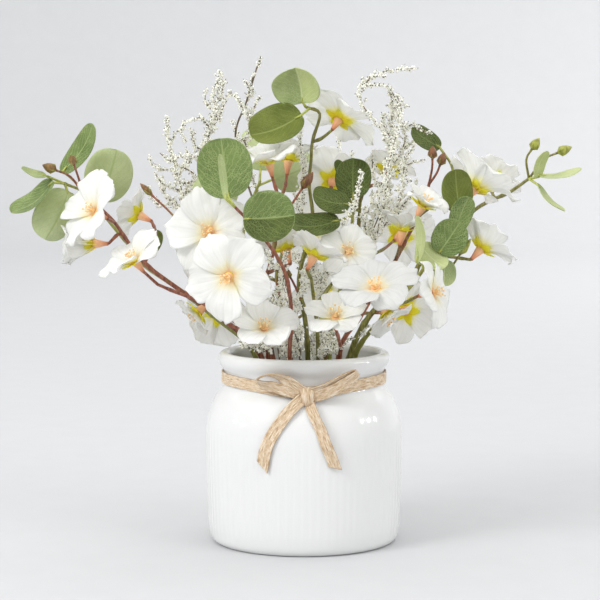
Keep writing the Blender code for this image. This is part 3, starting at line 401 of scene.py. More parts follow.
# Further strands of a filler spray: the points of each, and how long its side twigs are. Each starts on
# the main twig, or on the strand before it that comes nearest.
FILLER_STRANDS = {
    "filler_left_plume": [
        ([(-57, 14, 224), (-55, 14, 233), (-51, 12, 240), (-50, 10, 248),
          (-52, 8, 255), (-50, 8, 262), (-48, 8, 270)], 6.0),
        ([(-51, 12, 240), (-47, 10, 247), (-45, 8, 254), (-42, 6, 256),
          (-38, 4, 254), (-35, 4, 248), (-32, 4, 242)], 4.0),
        ([(-52, 12, 236), (-56, 10, 239), (-58, 8, 243), (-63, 6, 242),
          (-69, 4, 239), (-70, 3, 234), (-67, 3, 229)], 3.0),
        ([(-57, 14, 224), (-62, 12, 226), (-64, 8, 232), (-65, 6, 237)], 4.0),
        ([(-57, 14, 224), (-60, 8, 220), (-65, 4, 221),
          (-71, 0, 221), (-76, -2, 218), (-82, -4, 223)], 4.0),
        ([(-50, 10, 248), (-55, 12, 249), (-57, 14, 254), (-56, 16, 260)], 3.0),
        ([(-48, 10, 253), (-47, 14, 259), (-45, 16, 265)], 2.0),
    ],
    "filler_left_high": [
        ([(-33, 26, 230), (-32, 24, 240), (-33, 22, 248), (-37, 20, 251)], 4.0),
        ([(-31, 24, 242), (-28, 28, 251), (-25, 32, 255)], 3.0),
        ([(-30, 20, 255), (-32, 16, 261), (-35, 14, 265)], 3.5),
        ([(-33, 28, 224), (-38, 34, 228), (-40, 40, 235), (-43, 44, 241)], 4.0),
        ([(-33, 21, 253), (-32, 19, 258), (-30, 17, 264), (-29, 15, 269)], 2.0),
        ([(-26, 13, 275), (-25, 12, 276), (-25, 12, 278)], 0.8),
    ],
    "filler_far_left": [
        ([(-62, 14, 208), (-67, 12, 213), (-73, 10, 216),
          (-76, 8, 223), (-78, 6, 231), (-78, 4, 243)], 3.5),
        ([(-67, 14, 204), (-73, 14, 207), (-75, 12, 213),
          (-81, 8, 213), (-87, 6, 216), (-88, 4, 221)], 4.0),
        ([(-67, 14, 200), (-74, 10, 202), (-79, 4, 204), (-83, 0, 208), (-85, -4, 212)], 5.0),
        ([(-68, 14, 192), (-75, 12, 193), (-79, 10, 198), (-82, 8, 202), (-83, 10, 208)], 6.0),
        ([(-73, 14, 207), (-70, 18, 214), (-66, 22, 218), (-69, 26, 225)], 4.0),
        ([(-76, 12, 195), (-83, 16, 192), (-88, 22, 196), (-91, 28, 203)], 4.0),
        ([(-76, 7, 229), (-73, 10, 235), (-69, 14, 237)], 2.5),
    ],
    "filler_right_plume": [
        ([(47, 16, 198), (49, 14, 207), (50, 10, 218), (51, 6, 230),
          (50, 2, 241), (50, -4, 252), (47, -6, 260)], 6.0),
        ([(47, 16, 201), (43, 20, 203), (40, 26, 212), (40, 30, 224)], 5.0),
        ([(50, 12, 215), (55, 14, 221), (58, 12, 230), (56, 8, 241), (54, 4, 251)], 6.0),
        ([(57, 10, 236), (62, 8, 239), (67, 6, 236), (73, 6, 234)], 3.0),
        ([(50, 0, 247), (55, -2, 251), (60, -4, 249)], 4.0),
        ([(51, 6, 230), (46, 2, 237), (44, -4, 246)], 5.0),
        ([(57, 14, 224), (63, 16, 229), (68, 18, 231)], 3.5),
        ([(30, -15, 256), (33, -17, 260), (37, -16, 261), (44, -13, 261), (48, -12, 260)], 2.5),
        ([(48, -12, 260), (51, -8, 255), (53, -6, 251)], 3.0),
        ([(35, -12, 263), (39, -16, 266), (46, -16, 266)], 2.5),
    ],
    "filler_right_front": [
        ([(41, 6, 173), (43, 2, 183), (46, 0, 193), (48, 4, 201)], 7.0),
        ([(37, 4, 173), (35, 0, 183), (38, -2, 193), (42, 0, 201)], 7.0),
        ([(46, 4, 181), (52, 4, 190), (56, 4, 198), (57, 2, 210), (56, 0, 219)], 7.0),
        ([(52, 4, 190), (57, 6, 193), (62, 8, 200), (65, 8, 208)], 4.0),
        ([(56, 4, 214), (62, 6, 217), (70, 8, 219)], 2.0),
        ([(57, 2, 219), (61, 4, 224), (64, 6, 229)], 3.5),
        ([(32, 0, 167), (25, -8, 172), (22, -14, 181), (26, -18, 190),
          (30, -20, 198), (31, -20, 207), (33, -18, 213)], 5.0),
        ([(26, -2, 163), (22, -10, 161), (18, -14, 167), (17, -18, 174)], 5.0),
        ([(27, 0, 157), (27, -8, 168), (29, -12, 178)], 6.0),
    ],
    "filler_front": [
        ([(-7, -22, 113), (-9, -26, 124), (-12, -28, 135),
          (-13, -30, 146), (-13, -30, 158), (-10, -28, 168)], 8.0),
        ([(-11, -22, 115), (-17, -22, 124), (-20, -22, 134),
          (-21, -22, 145), (-24, -22, 156), (-26, -22, 165)], 8.0),
        ([(-8, -24, 118), (-4, -20, 126), (-5, -16, 137), (-1, -14, 147), (-1, -14, 157)], 7.0),
        ([(-15, -20, 115), (-20, -18, 119), (-25, -14, 114)], 5.0),
        ([(-19, -22, 135), (-26, -24, 138), (-29, -26, 142)], 4.0),
        ([(-13, -30, 158), (-18, -32, 163), (-20, -34, 170)], 6.0),
        ([(-9, -26, 112), (-16, -30, 117), (-23, -28, 114), (-30, -24, 115), (-37, -18, 117)], 5.0),
        ([(-5, -26, 112), (-2, -26, 119), (-3, -22, 128)], 6.0),
        ([(-11, -30, 111), (-11, -36, 119), (-8, -36, 125)], 6.0),
        ([(-19, -28, 113), (-23, -34, 120), (-28, -32, 124)], 6.0),
        ([(-27, -22, 113), (-31, -30, 117), (-36, -32, 116)], 6.0),
    ],
    "filler_back": [
        ([(5, 0, 113), (9, -8, 122), (8, -12, 133), (9, -12, 145), (11, -10, 155), (16, -8, 164)], 7.0),
        ([(5, 0, 113), (15, -10, 117), (18, -12, 126)], 7.0),
        ([(8, -8, 111), (13, -20, 115), (19, -22, 117)], 6.0),
        ([(11, -12, 111), (10, -20, 121), (8, -22, 129)], 6.0),
        ([(7, -16, 110), (11, -34, 114), (17, -36, 115), (22, -34, 117)], 6.0),
        ([(15, -20, 111), (20, -28, 114), (25, -26, 119)], 5.0),
        ([(15, -6, 114), (23, -10, 117), (31, -12, 119), (37, -14, 126)], 4.0),
        ([(8, 20, 143), (4, 26, 160), (0, 30, 177), (-1, 26, 195), (0, 20, 209), (1, 16, 221)], 6.0),
        ([(0, 20, 206), (-1, 14, 218), (-2, 10, 230), (-1, 10, 241)], 4.0),
        ([(8, 20, 143), (-8, 50, 164), (-25, 60, 193), (-32, 52, 211)], 5.0),
        ([(8, 20, 143), (25, 56, 169), (32, 52, 199), (28, 40, 223)], 5.0),
        ([(8, 20, 143), (-2, 64, 175), (-5, 66, 199)], 6.0),
    ],
}


def stacked(*parts):
    """Points or surface coordinates from their parts, each spread over the whole grid."""
    return np.stack(np.broadcast_arrays(*parts), axis=-1)


def as_array(points):
    return np.array([tuple(p) for p in points])


def lengths_along(route):
    """Distance along an array of points up to each of them."""
    return np.concatenate([[0.0], np.cumsum(np.linalg.norm(np.diff(route, axis=0), axis=1))])


def between(spots, reach, values):
    """Points or directions at the given distances along a route, from those at its own points."""
    return np.stack([np.interp(spots, reach, values[:, i]) for i in range(3)], axis=-1)


def ring_angles(sides):
    return np.arange(sides) * TURN / sides


class Piece:
    """Mesh being put together: points with two surface coordinates each, and faces with a material each."""

    def __init__(self):
        self.points = []
        self.coords = []
        self.faces = []
        self.slots = []
        self.count = 0

    def add(self, points, coords):
        """Adds points and returns the number of the first."""
        points = np.asarray(points, float).reshape(-1, 3)
        self.points.append(points)
        self.coords.append(np.asarray(coords, float).reshape(-1, 2))
        self.count += len(points)
        return self.count - len(points)

    def fill(self, faces, slot):
        self.faces.extend(faces)
        self.slots.extend([slot] * len(faces))

    def grid(self, rows, coords, slot, wrap=False, flip=False):
        """Surface through rows of points. Its front is along the rows' order times their direction."""
        high, wide = rows.shape[:2]
        first = self.add(rows, coords)
        row = first + np.arange(high - 1)[:, None] * wide
        near = np.arange(wide if wrap else wide - 1)[None, :]
        far = (near + 1) % wide
        a, b = row + near, row + far
        corners = (a, b, b + wide, a + wide) if flip else (a, a + wide, b + wide, b)
        self.fill(np.stack(corners, axis=-1).reshape(-1, 4).tolist(), slot)
        return first

    def shell(self, rings, coords, ends, end_coords, slot, flip=True):
        """Closed surface through rings of points, with a fan from a middle point over each end."""
        high, wide = rings.shape[:2]
        first = self.grid(rings, coords, slot, wrap=True, flip=flip)
        turned = flip
        for start, middle, coord in zip((first, first + (high - 1) * wide), ends, end_coords):
            centre = self.add(middle, coord)
            near = [start + k for k in range(wide)]
            far = near[1:] + near[:1]
            if turned:
                near, far = far, near
            self.fill([(centre, a, b) for a, b in zip(near, far)], slot)
            turned = not turned

    def slab(self, rows, thick, coords, top, under):
        """Thin closed sheet with the given middle surface and one thickness, or one for each point."""
        high, wide = rows.shape[:2]
        normals = np.cross(np.gradient(rows, axis=0), np.gradient(rows, axis=1))
        normals /= np.linalg.norm(normals, axis=2, keepdims=True) + TINY
        over = self.grid(rows + normals * thick * 0.5, coords, top)
        below = self.grid(rows - normals * thick * 0.5, coords, under, flip=True)
        border = list(range(wide)) + [wide * i + wide - 1 for i in range(1, high)]
        border += [wide * (high - 1) + j for j in range(wide - 2, -1, -1)]
        border += [wide * i for i in range(high - 2, 0, -1)]
        self.fill([(over + a, over + b, below + b, below + a)
                   for a, b in zip(border, border[1:] + border[:1])], under)

    def tube(self, route, radii, sides, slot, tone=0.0):
        """Round tube with closed ends along a route, with a radius for each of its points."""
        route = as_array(route)
        along = np.gradient(route, axis=0)
        along /= np.linalg.norm(along, axis=1, keepdims=True) + TINY
        across = np.array(Vector(along[0]).orthogonal().normalized())
        cos, sin = np.cos(ring_angles(sides)), np.sin(ring_angles(sides))
        rings = []
        for place, way, radius in zip(route, along, radii):
            across = across - way * across.dot(way)
            across /= np.linalg.norm(across)
            beside = np.cross(way, across)
            rings.append(place + radius * (np.outer(cos, across) + np.outer(sin, beside)))
        reach = lengths_along(route) * COORD_SCALE
        coords = stacked(np.full(sides, tone), reach[:, None])
        self.shell(np.array(rings), coords, (route[0], route[-1]), ((tone, 0.0), (tone, reach[-1])), slot)

    def build(self, name, materials, node):
        """Makes the object, which rides on the part and stands for the named node."""
        mesh = bpy.data.meshes.new(name)
        points = np.concatenate(self.points) * MM
        mesh.from_pydata(points.tolist(), [], self.faces)
        for material in materials:
            mesh.materials.append(material)
        mesh.polygons.foreach_set("material_index", self.slots)
        mesh.polygons.foreach_set("use_smooth", [True] * len(self.faces))
        corners = np.empty(len(mesh.loops), dtype=np.int32)
        mesh.loops.foreach_get("vertex_index", corners)
        layer = mesh.uv_layers.new(name="Surface")
        layer.data.foreach_set("uv", np.concatenate(self.coords)[corners].ravel())
        mesh.validate()
        item = bpy.data.objects.new(name, mesh)
        bpy.context.scene.collection.objects.link(item)
        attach(item, "root")
        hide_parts(node)


def smooth_route(points, step):
    """Points about one step apart on a smooth curve through the given points."""
    knots = [Vector(p) for p in points]
    knots = [knots[0] * 2 - knots[1]] + knots + [knots[-1] * 2 - knots[-2]]
    route = [knots[1]]
    for a, b, c, d in zip(knots, knots[1:], knots[2:], knots[3:]):
        count = max(1, round((c - b).length / step))
        for i in range(1, count + 1):
            t = i / count
            pull = b * 2 + (c - a) * t + (a * 2 - b * 5 + c * 4 - d) * t * t
            route.append(0.5 * (pull + (b * 3 - a - c * 3 + d) * t * t * t))
    return route


def onto(route, place):
    """Nearest point of a route to a place."""
    place = Vector(place)
    spots = []
    for a, b in zip(route, route[1:]):
        along = b - a
        share = min(1.0, max(0.0, (place - a).dot(along) / along.length_squared))
        spots.append(a + along * share)
    return min(spots, key=lambda spot: (spot - place).length)


def frame_towards(place, facing, spin):
    """Matrix that puts local +Z along the facing direction at a place in millimetres."""
    turn = Vector(facing).to_track_quat("Z", "Y").to_matrix().to_4x4()
    return Matrix.Translation(Vector(place)) @ turn @ Matrix.Rotation(math.radians(spin), 4, "Z")


def placed(matrix, rows):
    """Grid of points moved by a matrix."""
    matrix = np.array(matrix)
    return rows @ matrix[:3, :3].T + matrix[:3, 3]


# Materials


class Shader:
    """Node material with one Principled shader, and short calls for the nodes behind it."""

    def __init__(self, name, roughness, specular=0.5):
        self.material = bpy.data.materials.new(name)
        self.material.use_nodes = True
        self.tree = self.material.node_tree
        self.main = self.tree.nodes["Principled BSDF"]
        self.main.inputs["Roughness"].default_value = roughness
        self.main.inputs["Specular IOR Level"].default_value = specular

    def node(self, kind, **settings):
        item = self.tree.nodes.new(kind)
        for key, value in settings.items():
            setattr(item, key, value)
        return item

    def link(self, source, target):
        self.tree.links.new(source, target)

    def put(self, socket, value):
        if isinstance(value, bpy.types.NodeSocket):
            self.link(value, socket)
        else:
            socket.default_value = value

    def place(self, tall=1.0):
        """Place on the part in metres. With tall under 1 a pattern is stretched upwards."""
        coords = self.node("ShaderNodeTexCoord")
        mapping = self.node("ShaderNodeMapping")
        mapping.inputs["Scale"].default_value = (1.0, 1.0, tall)
        self.link(coords.outputs["Object"], mapping.inputs["Vector"])
        return mapping.outputs["Vector"]

    def surface(self):
        """The two surface coordinates."""
        source = self.node("ShaderNodeUVMap", uv_map="Surface")
        split = self.node("ShaderNodeSeparateXYZ")
        self.link(source.outputs["UV"], split.inputs["Vector"])
        return split.outputs["X"], split.outputs["Y"]

    def join(self, x, y):
        item = self.node("ShaderNodeCombineXYZ")
        self.put(item.inputs["X"], x)
        self.put(item.inputs["Y"], y)
        return item.outputs["Vector"]

    def calc(self, operation, a, b=0.0):
        item = self.node("ShaderNodeMath", operation=operation)
        self.put(item.inputs[0], a)
        self.put(item.inputs[1], b)
        return item.outputs["Value"]

    def times(self, a, b):
        return self.calc("MULTIPLY", a, b)

    def plus(self, a, b):
        return self.calc("ADD", a, b)

    def noise(self, vector, scale, detail=3.0):
        item = self.node("ShaderNodeTexNoise")
        self.link(vector, item.inputs["Vector"])
        for key, value in (("Scale", scale), ("Detail", detail), ("Roughness", 0.55)):
            item.inputs[key].default_value = value
        return item.outputs["Fac"]

    def cells(self, vector, scale):
        """Distance to the edge of irregular cells."""
        item = self.node("ShaderNodeTexVoronoi", feature="DISTANCE_TO_EDGE")
        self.link(vector, item.inputs["Vector"])
        item.inputs["Scale"].default_value = scale
        return item.outputs["Distance"]

    def ramp(self, factor, *stops):
        """Colours, each after its place from 0 to 1."""
        item = self.node("ShaderNodeValToRGB")
        ramp = item.color_ramp
        while len(ramp.elements) < len(stops):
            ramp.elements.new(0.5)
        for element, (spot, colour) in zip(ramp.elements, stops):
            element.position = spot
            element.color = (*colour, 1.0)
        self.link(factor, item.inputs["Fac"])
        return item.outputs["Color"]

    def spread(self, value, low, high, out_low=0.0, out_high=1.0):
        """Value from low to high, spread over the range from out_low to out_high."""
        item = self.node("ShaderNodeMapRange")
        self.link(value, item.inputs["Value"])
        for key, number in (("From Min", low), ("From Max", high), ("To Min", out_low), ("To Max", out_high)):
            item.inputs[key].default_value = number
        return item.outputs["Result"]

    def mix(self, factor, a, b):
        """Colour between two others. The node keeps its colours at inputs 6 and 7 and output 2."""
        item = self.node("ShaderNodeMix", data_type="RGBA")
        for number, value in ((0, factor), (6, a), (7, b)):
            self.put(item.inputs[number], (*value, 1.0) if isinstance(value, tuple) else value)
        return item.outputs[2]

    def bump(self, height, strength, distance):
        item = self.node("ShaderNodeBump")
        item.inputs["Strength"].default_value = strength
        item.inputs["Distance"].default_value = distance
        self.link(height, item.inputs["Height"])
        self.link(item.outputs["Normal"], self.main.inputs["Normal"])

    def finish(self, colour, through=0.0):
        """Sets the colour, lets a share of the light through a thin sheet, and gives the material."""
        self.link(colour, self.main.inputs["Base Color"])
        if through:
            sheet = self.node("ShaderNodeBsdfTranslucent")
            self.link(colour, sheet.inputs["Color"])
            both = self.node("ShaderNodeMixShader")
            both.inputs[0].default_value = through
            self.link(self.main.outputs[0], both.inputs[1])
            self.link(sheet.outputs[0], both.inputs[2])
            self.link(both.outputs[0], self.tree.nodes["Material Output"].inputs["Surface"])
        return self.material


def fleck_material(name, roughness, specular, scale, stops, tall=1.0, detail=3.0, relief=None):
    """Material whose colour, and relief where it has one, follow one fine noise."""
    shader = Shader(name, roughness, specular)
    fleck = shader.noise(shader.place(tall), scale, detail)
    if relief:
        shader.bump(fleck, *relief)
    return shader.finish(shader.ramp(fleck, *stops))


def tone_material(name, roughness, specular, tall, scale, relief, low, high, patches=False):
    """Stem, bud or stalk: the low colours where its tone is 0 and the high ones where it is 1."""
    shader = Shader(name, roughness, specular)
    fleck = shader.noise(shader.place(tall), scale)
    share = shader.surface()[0]
    if patches:
        patch = shader.noise(shader.place(), 55.0, 2.0)
        share = shader.plus(share, shader.spread(patch, 0.3, 0.7, -0.35, 0.35))
        share = shader.spread(share, 0.35, 0.65)
    shader.bump(fleck, *relief)
    return shader.finish(shader.mix(share, shader.ramp(fleck, *low), shader.ramp(fleck, *high)))


def calyx_material(name, roughness, specular, scale, detail, share, flecks, stops, through=0.0):
    """Calyx or sepal: colours along its length, with flecks of another colour."""
    shader = Shader(name, roughness, specular)
    fleck = shader.noise(shader.place(), scale, detail)
    base = shader.ramp(shader.surface()[1], *stops)
    shader.bump(fleck, 0.25, 0.0003)
    return shader.finish(shader.mix(shader.spread(fleck, 0.35, 0.7, 0.0, share), base, flecks), through)


def glaze_material():
    shader = Shader("white_glaze", 0.1)
    place = shader.place()
    shader.bump(shader.noise(place, 60.0, 1.0), 0.02, 0.0003)
    rough = shader.spread(shader.noise(place, 35.0), 0.3, 0.7, 0.09, 0.15)
    shader.link(rough, shader.main.inputs["Roughness"])
    tint = shader.noise(place, 14.0, 2.0)
    return shader.finish(shader.ramp(tint, (0.3, (0.735, 0.74, 0.735)), (0.7, (0.765, 0.77, 0.76))))


def jute_material():
    """Strands of fibre, each with shades of its own along the strap, and painted shade in a dark line between
    two.
    """
    shader = Shader("jute", 0.85, 0.25)
    across, along = shader.surface()
    number = shader.calc("FLOOR", shader.times(across, STRANDS))
    fibre = shader.noise(shader.join(shader.times(across, 60.0), shader.times(along, 36.0)), 1.0, 4.0)
    run = shader.noise(shader.join(shader.times(number, 7.3), shader.times(along, 20.0)), 1.0, 2.0)
    # Painted shade: each strand darkens towards the gap between it and the next.
    strand_gap_shade = shader.calc("ABSOLUTE", shader.calc("SINE", shader.times(across, math.pi * STRANDS)))
    share = shader.plus(shader.times(fibre, 0.3), shader.times(run, 0.7))
    base = shader.ramp(share, (0.36, (0.46, 0.31, 0.18)), (0.46, (0.65, 0.49, 0.325)),
                       (0.54, (0.76, 0.62, 0.455)), (0.64, (0.86, 0.76, 0.62)))
    shader.main.inputs["Sheen Weight"].default_value = 0.15
    shader.bump(fibre, 0.5, 0.0003)
    # The dark brown is the painted shade in the gaps between strands.
    return shader.finish(shader.mix(shader.spread(strand_gap_shade, 0.0, 0.6, 0.75, 0.0), base, (0.38, 0.25, 0.14)))


def petal_material(name, start, end, throat, bright=1.0):
    """White petal that turns to the throat's colours from the end share of its length down to the start."""
    shader = Shader(name, 0.6, 0.25)
    across, along = shader.surface()
    veins = shader.noise(shader.join(shader.times(across, 16.0), shader.times(along, 1.6)), 1.0)
    crumple = shader.noise(shader.place(), 170.0)
    shader.bump(shader.plus(veins, shader.times(crumple, 1.5)), 0.35, 0.0006)
    # A bright under 1 darkens the white: painted shade for blossoms that the lamps light full on.
    white = shader.ramp(veins, (0.3, [value * bright for value in (0.885, 0.89, 0.87)]),
                        (0.6, [value * bright for value in (0.965, 0.965, 0.95)]))
    wobble = shader.plus(along, shader.spread(veins, 0.2, 0.8, -0.035, 0.035))
    colour = shader.mix(shader.spread(wobble, start, end), shader.ramp(wobble, *throat), white)
    return shader.finish(colour, 0.48)


def leaf_material(name, dark, light, vein, strength):
    """Blade with patches, a fine net, side ribs and a midrib. The strength is how much the veins show."""
    shader = Shader(name, 0.5, 0.35)
    across, along = shader.surface()
    place = shader.place()
    side = shader.calc("ABSOLUTE", shader.calc("SUBTRACT", across, 0.5))
    patch = shader.noise(place, 75.0)
    tone = shader.plus(shader.spread(patch, 0.3, 0.7, -0.1, 0.7), shader.times(along, 0.4))
    edge = shader.spread(side, 0.40, 0.5, 0.0, 0.35)
    flesh = shader.mix(edge, shader.ramp(tone, (0.1, dark), (0.9, light)), light)
    net = shader.cells(place, 900.0)
    fade = shader.spread(shader.noise(place, 110.0, 2.0), 0.38, 0.6, 0.25, 1.0)
    net_share = shader.times(shader.spread(net, 0.03, 0.16, 1.0, 0.0), shader.times(fade, strength))
    wobble = shader.spread(shader.noise(place, 200.0, 2.0), 0.3, 0.7, -0.3, 0.3)
    ribs = shader.calc("SUBTRACT", shader.times(along, 7.0), shader.times(side, 8.0))
    ribs = shader.calc("PINGPONG", shader.plus(ribs, wobble), 0.5)
    colour = shader.mix(net_share, flesh, vein)
    colour = shader.mix(shader.spread(ribs, 0.02, 0.10, strength, 0.0), colour, vein)
    colour = shader.mix(shader.spread(side, 0.010, 0.03, 0.8, 0.0), colour, vein)
    height = shader.plus(shader.spread(net, 0.0, 0.15), shader.spread(ribs, 0.0, 0.1, 0.0, 2.0))
    shader.bump(height, 0.4, 0.0003)
    return shader.finish(colour, 0.18)


def floret_material():
    """Cream knobs. The faint glow stands for the light scattered inside a dense cluster."""
    shader = Shader("cream_floret", 0.8, 0.2)
    fleck = shader.noise(shader.place(), 600.0)
    shader.main.inputs["Emission Color"].default_value = (1.0, 0.98, 0.90, 1.0)
    shader.main.inputs["Emission Strength"].default_value = 0.1
    return shader.finish(shader.ramp(fleck, (0.26, (0.90, 0.89, 0.70)), (0.40, (0.96, 0.96, 0.86)),
                                     (0.60, (0.98, 0.98, 0.94))), 0.35)


def bract_material():
    return fleck_material("dark_bract", 0.7, 0.3, 500.0,
                          ((0.35, (0.04, 0.045, 0.02)), (0.7, (0.20, 0.21, 0.10))))


def twig_material():
    return fleck_material("filler_twig", 0.7, 0.3, 600.0,
                          ((0.35, (0.10, 0.075, 0.05)), (0.7, (0.30, 0.24, 0.17))), tall=0.3)


def foam_material():
    return fleck_material("dry_foam", 0.95, 0.2, 900.0,
                          ((0.3, (0.05, 0.09, 0.04)), (0.7, (0.14, 0.22, 0.10))),
                          detail=4.0, relief=(0.6, 0.0006))


def blossom_materials():
    """Front of the petals, plain or with painted shade, then stamens and the back of the petals."""
    front = ((0.04, (0.96, 0.56, 0.26)), (0.10, (0.97, 0.72, 0.46)), (0.18, (0.97, 0.86, 0.70)),
             (0.30, (0.97, 0.94, 0.87)))
    back = ((0.10, (0.95, 0.86, 0.10)), (0.24, (0.96, 0.91, 0.25)), (0.34, (0.96, 0.94, 0.60)),
            (0.48, (0.97, 0.96, 0.88)))
    return {
        "face": petal_material("petal_face", 0.13, 0.34, front),
        # Darker copy of the petal face: painted shade for blossoms that the lamps light full on.
        "painted_shade": petal_material("petal_painted_shade", 0.13, 0.34, front, 0.78),
        "stamens": fleck_material("stamens", 0.5, 0.5, 500.0,
                                  ((0.35, (0.93, 0.55, 0.22)), (0.65, (0.96, 0.76, 0.42))), detail=2.0),
        "back": petal_material("petal_back", 0.22, 0.46, back),
    }


def stem_materials():
    """Materials of the stems and leaves, in the order of their slots."""
    brown = ((0.3, (0.13, 0.035, 0.02)), (0.5, (0.24, 0.075, 0.04)), (0.75, (0.42, 0.17, 0.09)))
    olive = ((0.3, (0.10, 0.095, 0.02)), (0.55, (0.22, 0.21, 0.05)), (0.8, (0.36, 0.35, 0.10)))
    calyx_stops = ((0.0, (0.25, 0.07, 0.03)), (0.12, (0.62, 0.24, 0.12)), (0.45, (0.84, 0.42, 0.23)),
                   (0.85, (0.90, 0.56, 0.30)), (1.0, (0.85, 0.62, 0.16)))
    sepal_stops = ((0.0, (0.95, 0.76, 0.07)), (0.3, (0.98, 0.93, 0.06)), (0.75, (0.98, 0.94, 0.11)),
                   (1.0, (0.88, 0.90, 0.20)))
    return [
        tone_material("moulded_stem", 0.42, 0.5, 0.25, 900.0, (0.4, 0.0004), brown, olive, True),
        calyx_material("calyx", 0.45, 0.4, 420.0, 3.0, 0.35, (0.66, 0.27, 0.14), calyx_stops),
        calyx_material("sepal", 0.5, 0.35, 500.0, 2.0, 0.4, (0.93, 0.89, 0.10), sepal_stops, 0.62),
        tone_material("bud", 0.38, 0.5, 0.35, 700.0, (0.3, 0.0003),
                      ((0.3, (0.09, 0.022, 0.015)), (0.7, (0.26, 0.08, 0.045))),
                      ((0.3, (0.16, 0.18, 0.025)), (0.7, (0.42, 0.46, 0.08)))),
        tone_material("leaf_stalk", 0.45, 0.4, 0.3, 500.0, (0.3, 0.0003),
                      ((0.3, (0.15, 0.14, 0.035)), (0.7, (0.29, 0.28, 0.08))),
                      ((0.3, (0.30, 0.34, 0.06)), (0.7, (0.52, 0.55, 0.15)))),
        leaf_material("leaf_dark", (0.045, 0.065, 0.013), (0.11, 0.145, 0.035), (0.23, 0.29, 0.09), 0.6),
        leaf_material("leaf_middle", (0.10, 0.16, 0.04), (0.21, 0.29, 0.09), (0.40, 0.48, 0.20), 0.65),
        leaf_material("leaf_light", (0.28, 0.36, 0.14), (0.46, 0.53, 0.24), (0.60, 0.66, 0.36), 0.45),
        leaf_material("leaf_olive", (0.10, 0.135, 0.02), (0.20, 0.235, 0.045), (0.31, 0.36, 0.11), 0.3),
        leaf_material("leaf_pale", (0.46, 0.54, 0.22), (0.62, 0.68, 0.33), (0.70, 0.74, 0.44), 0.35),
        leaf_material("leaf_under", (0.48, 0.56, 0.26), (0.64, 0.71, 0.40), (0.42, 0.52, 0.20), 0.3),
    ]


# Jar and jute


def jar_outside():
    """Outline under the lip down to the middle of the foot."""
    return [
        (NECK_RADIUS + 1.6, RIM_TOP - RIM_BEAD),
        (NECK_RADIUS, RIM_TOP - RIM_BEAD - 3.0),
        (NECK_RADIUS, NECK_BOTTOM),
        (NECK_RADIUS + 4.4, NECK_BOTTOM - 6.0),
        (BODY_RADIUS - 2.2, 75.0),
        (BODY_RADIUS, 64.0),
        (BODY_RADIUS - 1.4, 10.0),
        (FOOT_RADIUS + 1.8, 3.0),
        (FOOT_RADIUS, 0.0),
        (0.0, 0.0),
    ]


def rounded(points, step):
    """Outline with smooth corners through the given points, as pairs of radius and height."""
    return [(p.x, p.y) for p in smooth_route([(r, z, 0.0) for r, z in points], step)]


def jar_outline():
    """Fine outline from the middle of the floor, up the inside, over the lip and down to the foot."""
    lip_radius = (RIM_RADIUS - NECK_RADIUS + WALL) * 0.5
    lip = []
    for i in range(13):
        angle = math.pi * (1 - i / 12)
        lip.append((RIM_RADIUS - lip_radius + lip_radius * math.cos(angle),
                    RIM_TOP - lip_radius * (1 - math.sin(angle))))
    inner = BODY_RADIUS - WALL
    inside = [(0.6, FLOOR), (20.0, FLOOR), (inner - 6.0, FLOOR), (inner - 1.5, FLOOR + 4.0),
              (inner - 0.5, 34.0), (inner - 0.5, 64.0), (inner - 3.0, 77.0),
              (NECK_RADIUS - WALL + 1.0, NECK_BOTTOM - 3.0), (NECK_RADIUS - WALL, NECK_BOTTOM + 2.0)]
    bead_low = RIM_TOP - RIM_BEAD
    outside = [(RIM_RADIUS - 0.1, bead_low + 3.0), (RIM_RADIUS - 0.8, bead_low + 1.0),
               (NECK_RADIUS + 1.3, bead_low - 0.7), (NECK_RADIUS + 0.3, bead_low - 2.2),
               (NECK_RADIUS, bead_low - 5.0), (NECK_RADIUS + 0.2, NECK_BOTTOM + 0.6),
               (NECK_RADIUS + 1.2, NECK_BOTTOM - 1.6), (NECK_RADIUS + 4.4, NECK_BOTTOM - 6.0),
               (BODY_RADIUS - 3.0, 78.0), (BODY_RADIUS - 0.9, 71.0), (BODY_RADIUS, 62.0),
               (BODY_RADIUS - 0.3, 40.0), (BODY_RADIUS - 1.2, 14.0), (BODY_RADIUS - 1.8, 7.0),
               (FOOT_RADIUS + 2.2, 2.4), (FOOT_RADIUS, 0.25), (FOOT_RADIUS - 3.0, 0.0)]
    return rounded(inside, 5.0) + lip + rounded(outside, 1.6) + [(30.0, 0.0), (0.6, 0.0)]


def jar_radius(z):
    """Radius of the outside of the jar at height z, read from the plain outline."""
    for (r_high, z_high), (r_low, z_low) in zip(jar_outside(), jar_outside()[1:]):
        if z_low <= z <= z_high:
            return r_low + (r_high - r_low) * (z - z_low) / (z_high - z_low)
    return NECK_RADIUS


def build_jar(material):
    outline = jar_outline()
    angles = ring_angles(FLUTES * FLUTE_STEPS)
    groove = 0.5 - 0.5 * np.cos(FLUTES * angles)
    rows = []
    coords = []
    for number, (radius, z) in enumerate(outline):
        flute = FLUTE_DEPTH * np.interp(z, FLUTE_HEIGHTS, (0, 1, 1, 0)) if radius > BODY_RADIUS - 2.4 else 0.0
        radii = radius - flute * groove
        rows.append(stacked(radii * np.cos(angles), radii * np.sin(angles), z))
        coords.append(stacked(angles / TURN, number / len(outline)))
    piece = Piece()
    piece.shell(np.array(rows), np.array(coords), ((0.0, 0.0, FLOOR), (0.0, 0.0, 0.0)),
                ((0.5, 0.0), (0.5, 1.0)), 0, flip=False)
    piece.build("glazed_jar", [material], "jar")


def weave(across, along):
    """Height of the weave's relief: raised threads along the strap, crossed by the weft."""
    thread = np.abs(np.sin(math.pi * THREADS * across)) ** 0.6
    number = np.floor(THREADS * across)
    crossing = np.cos(math.pi * (along / WEFT_PITCH + number))
    return 0.16 * thread + 0.07 * thread * crossing


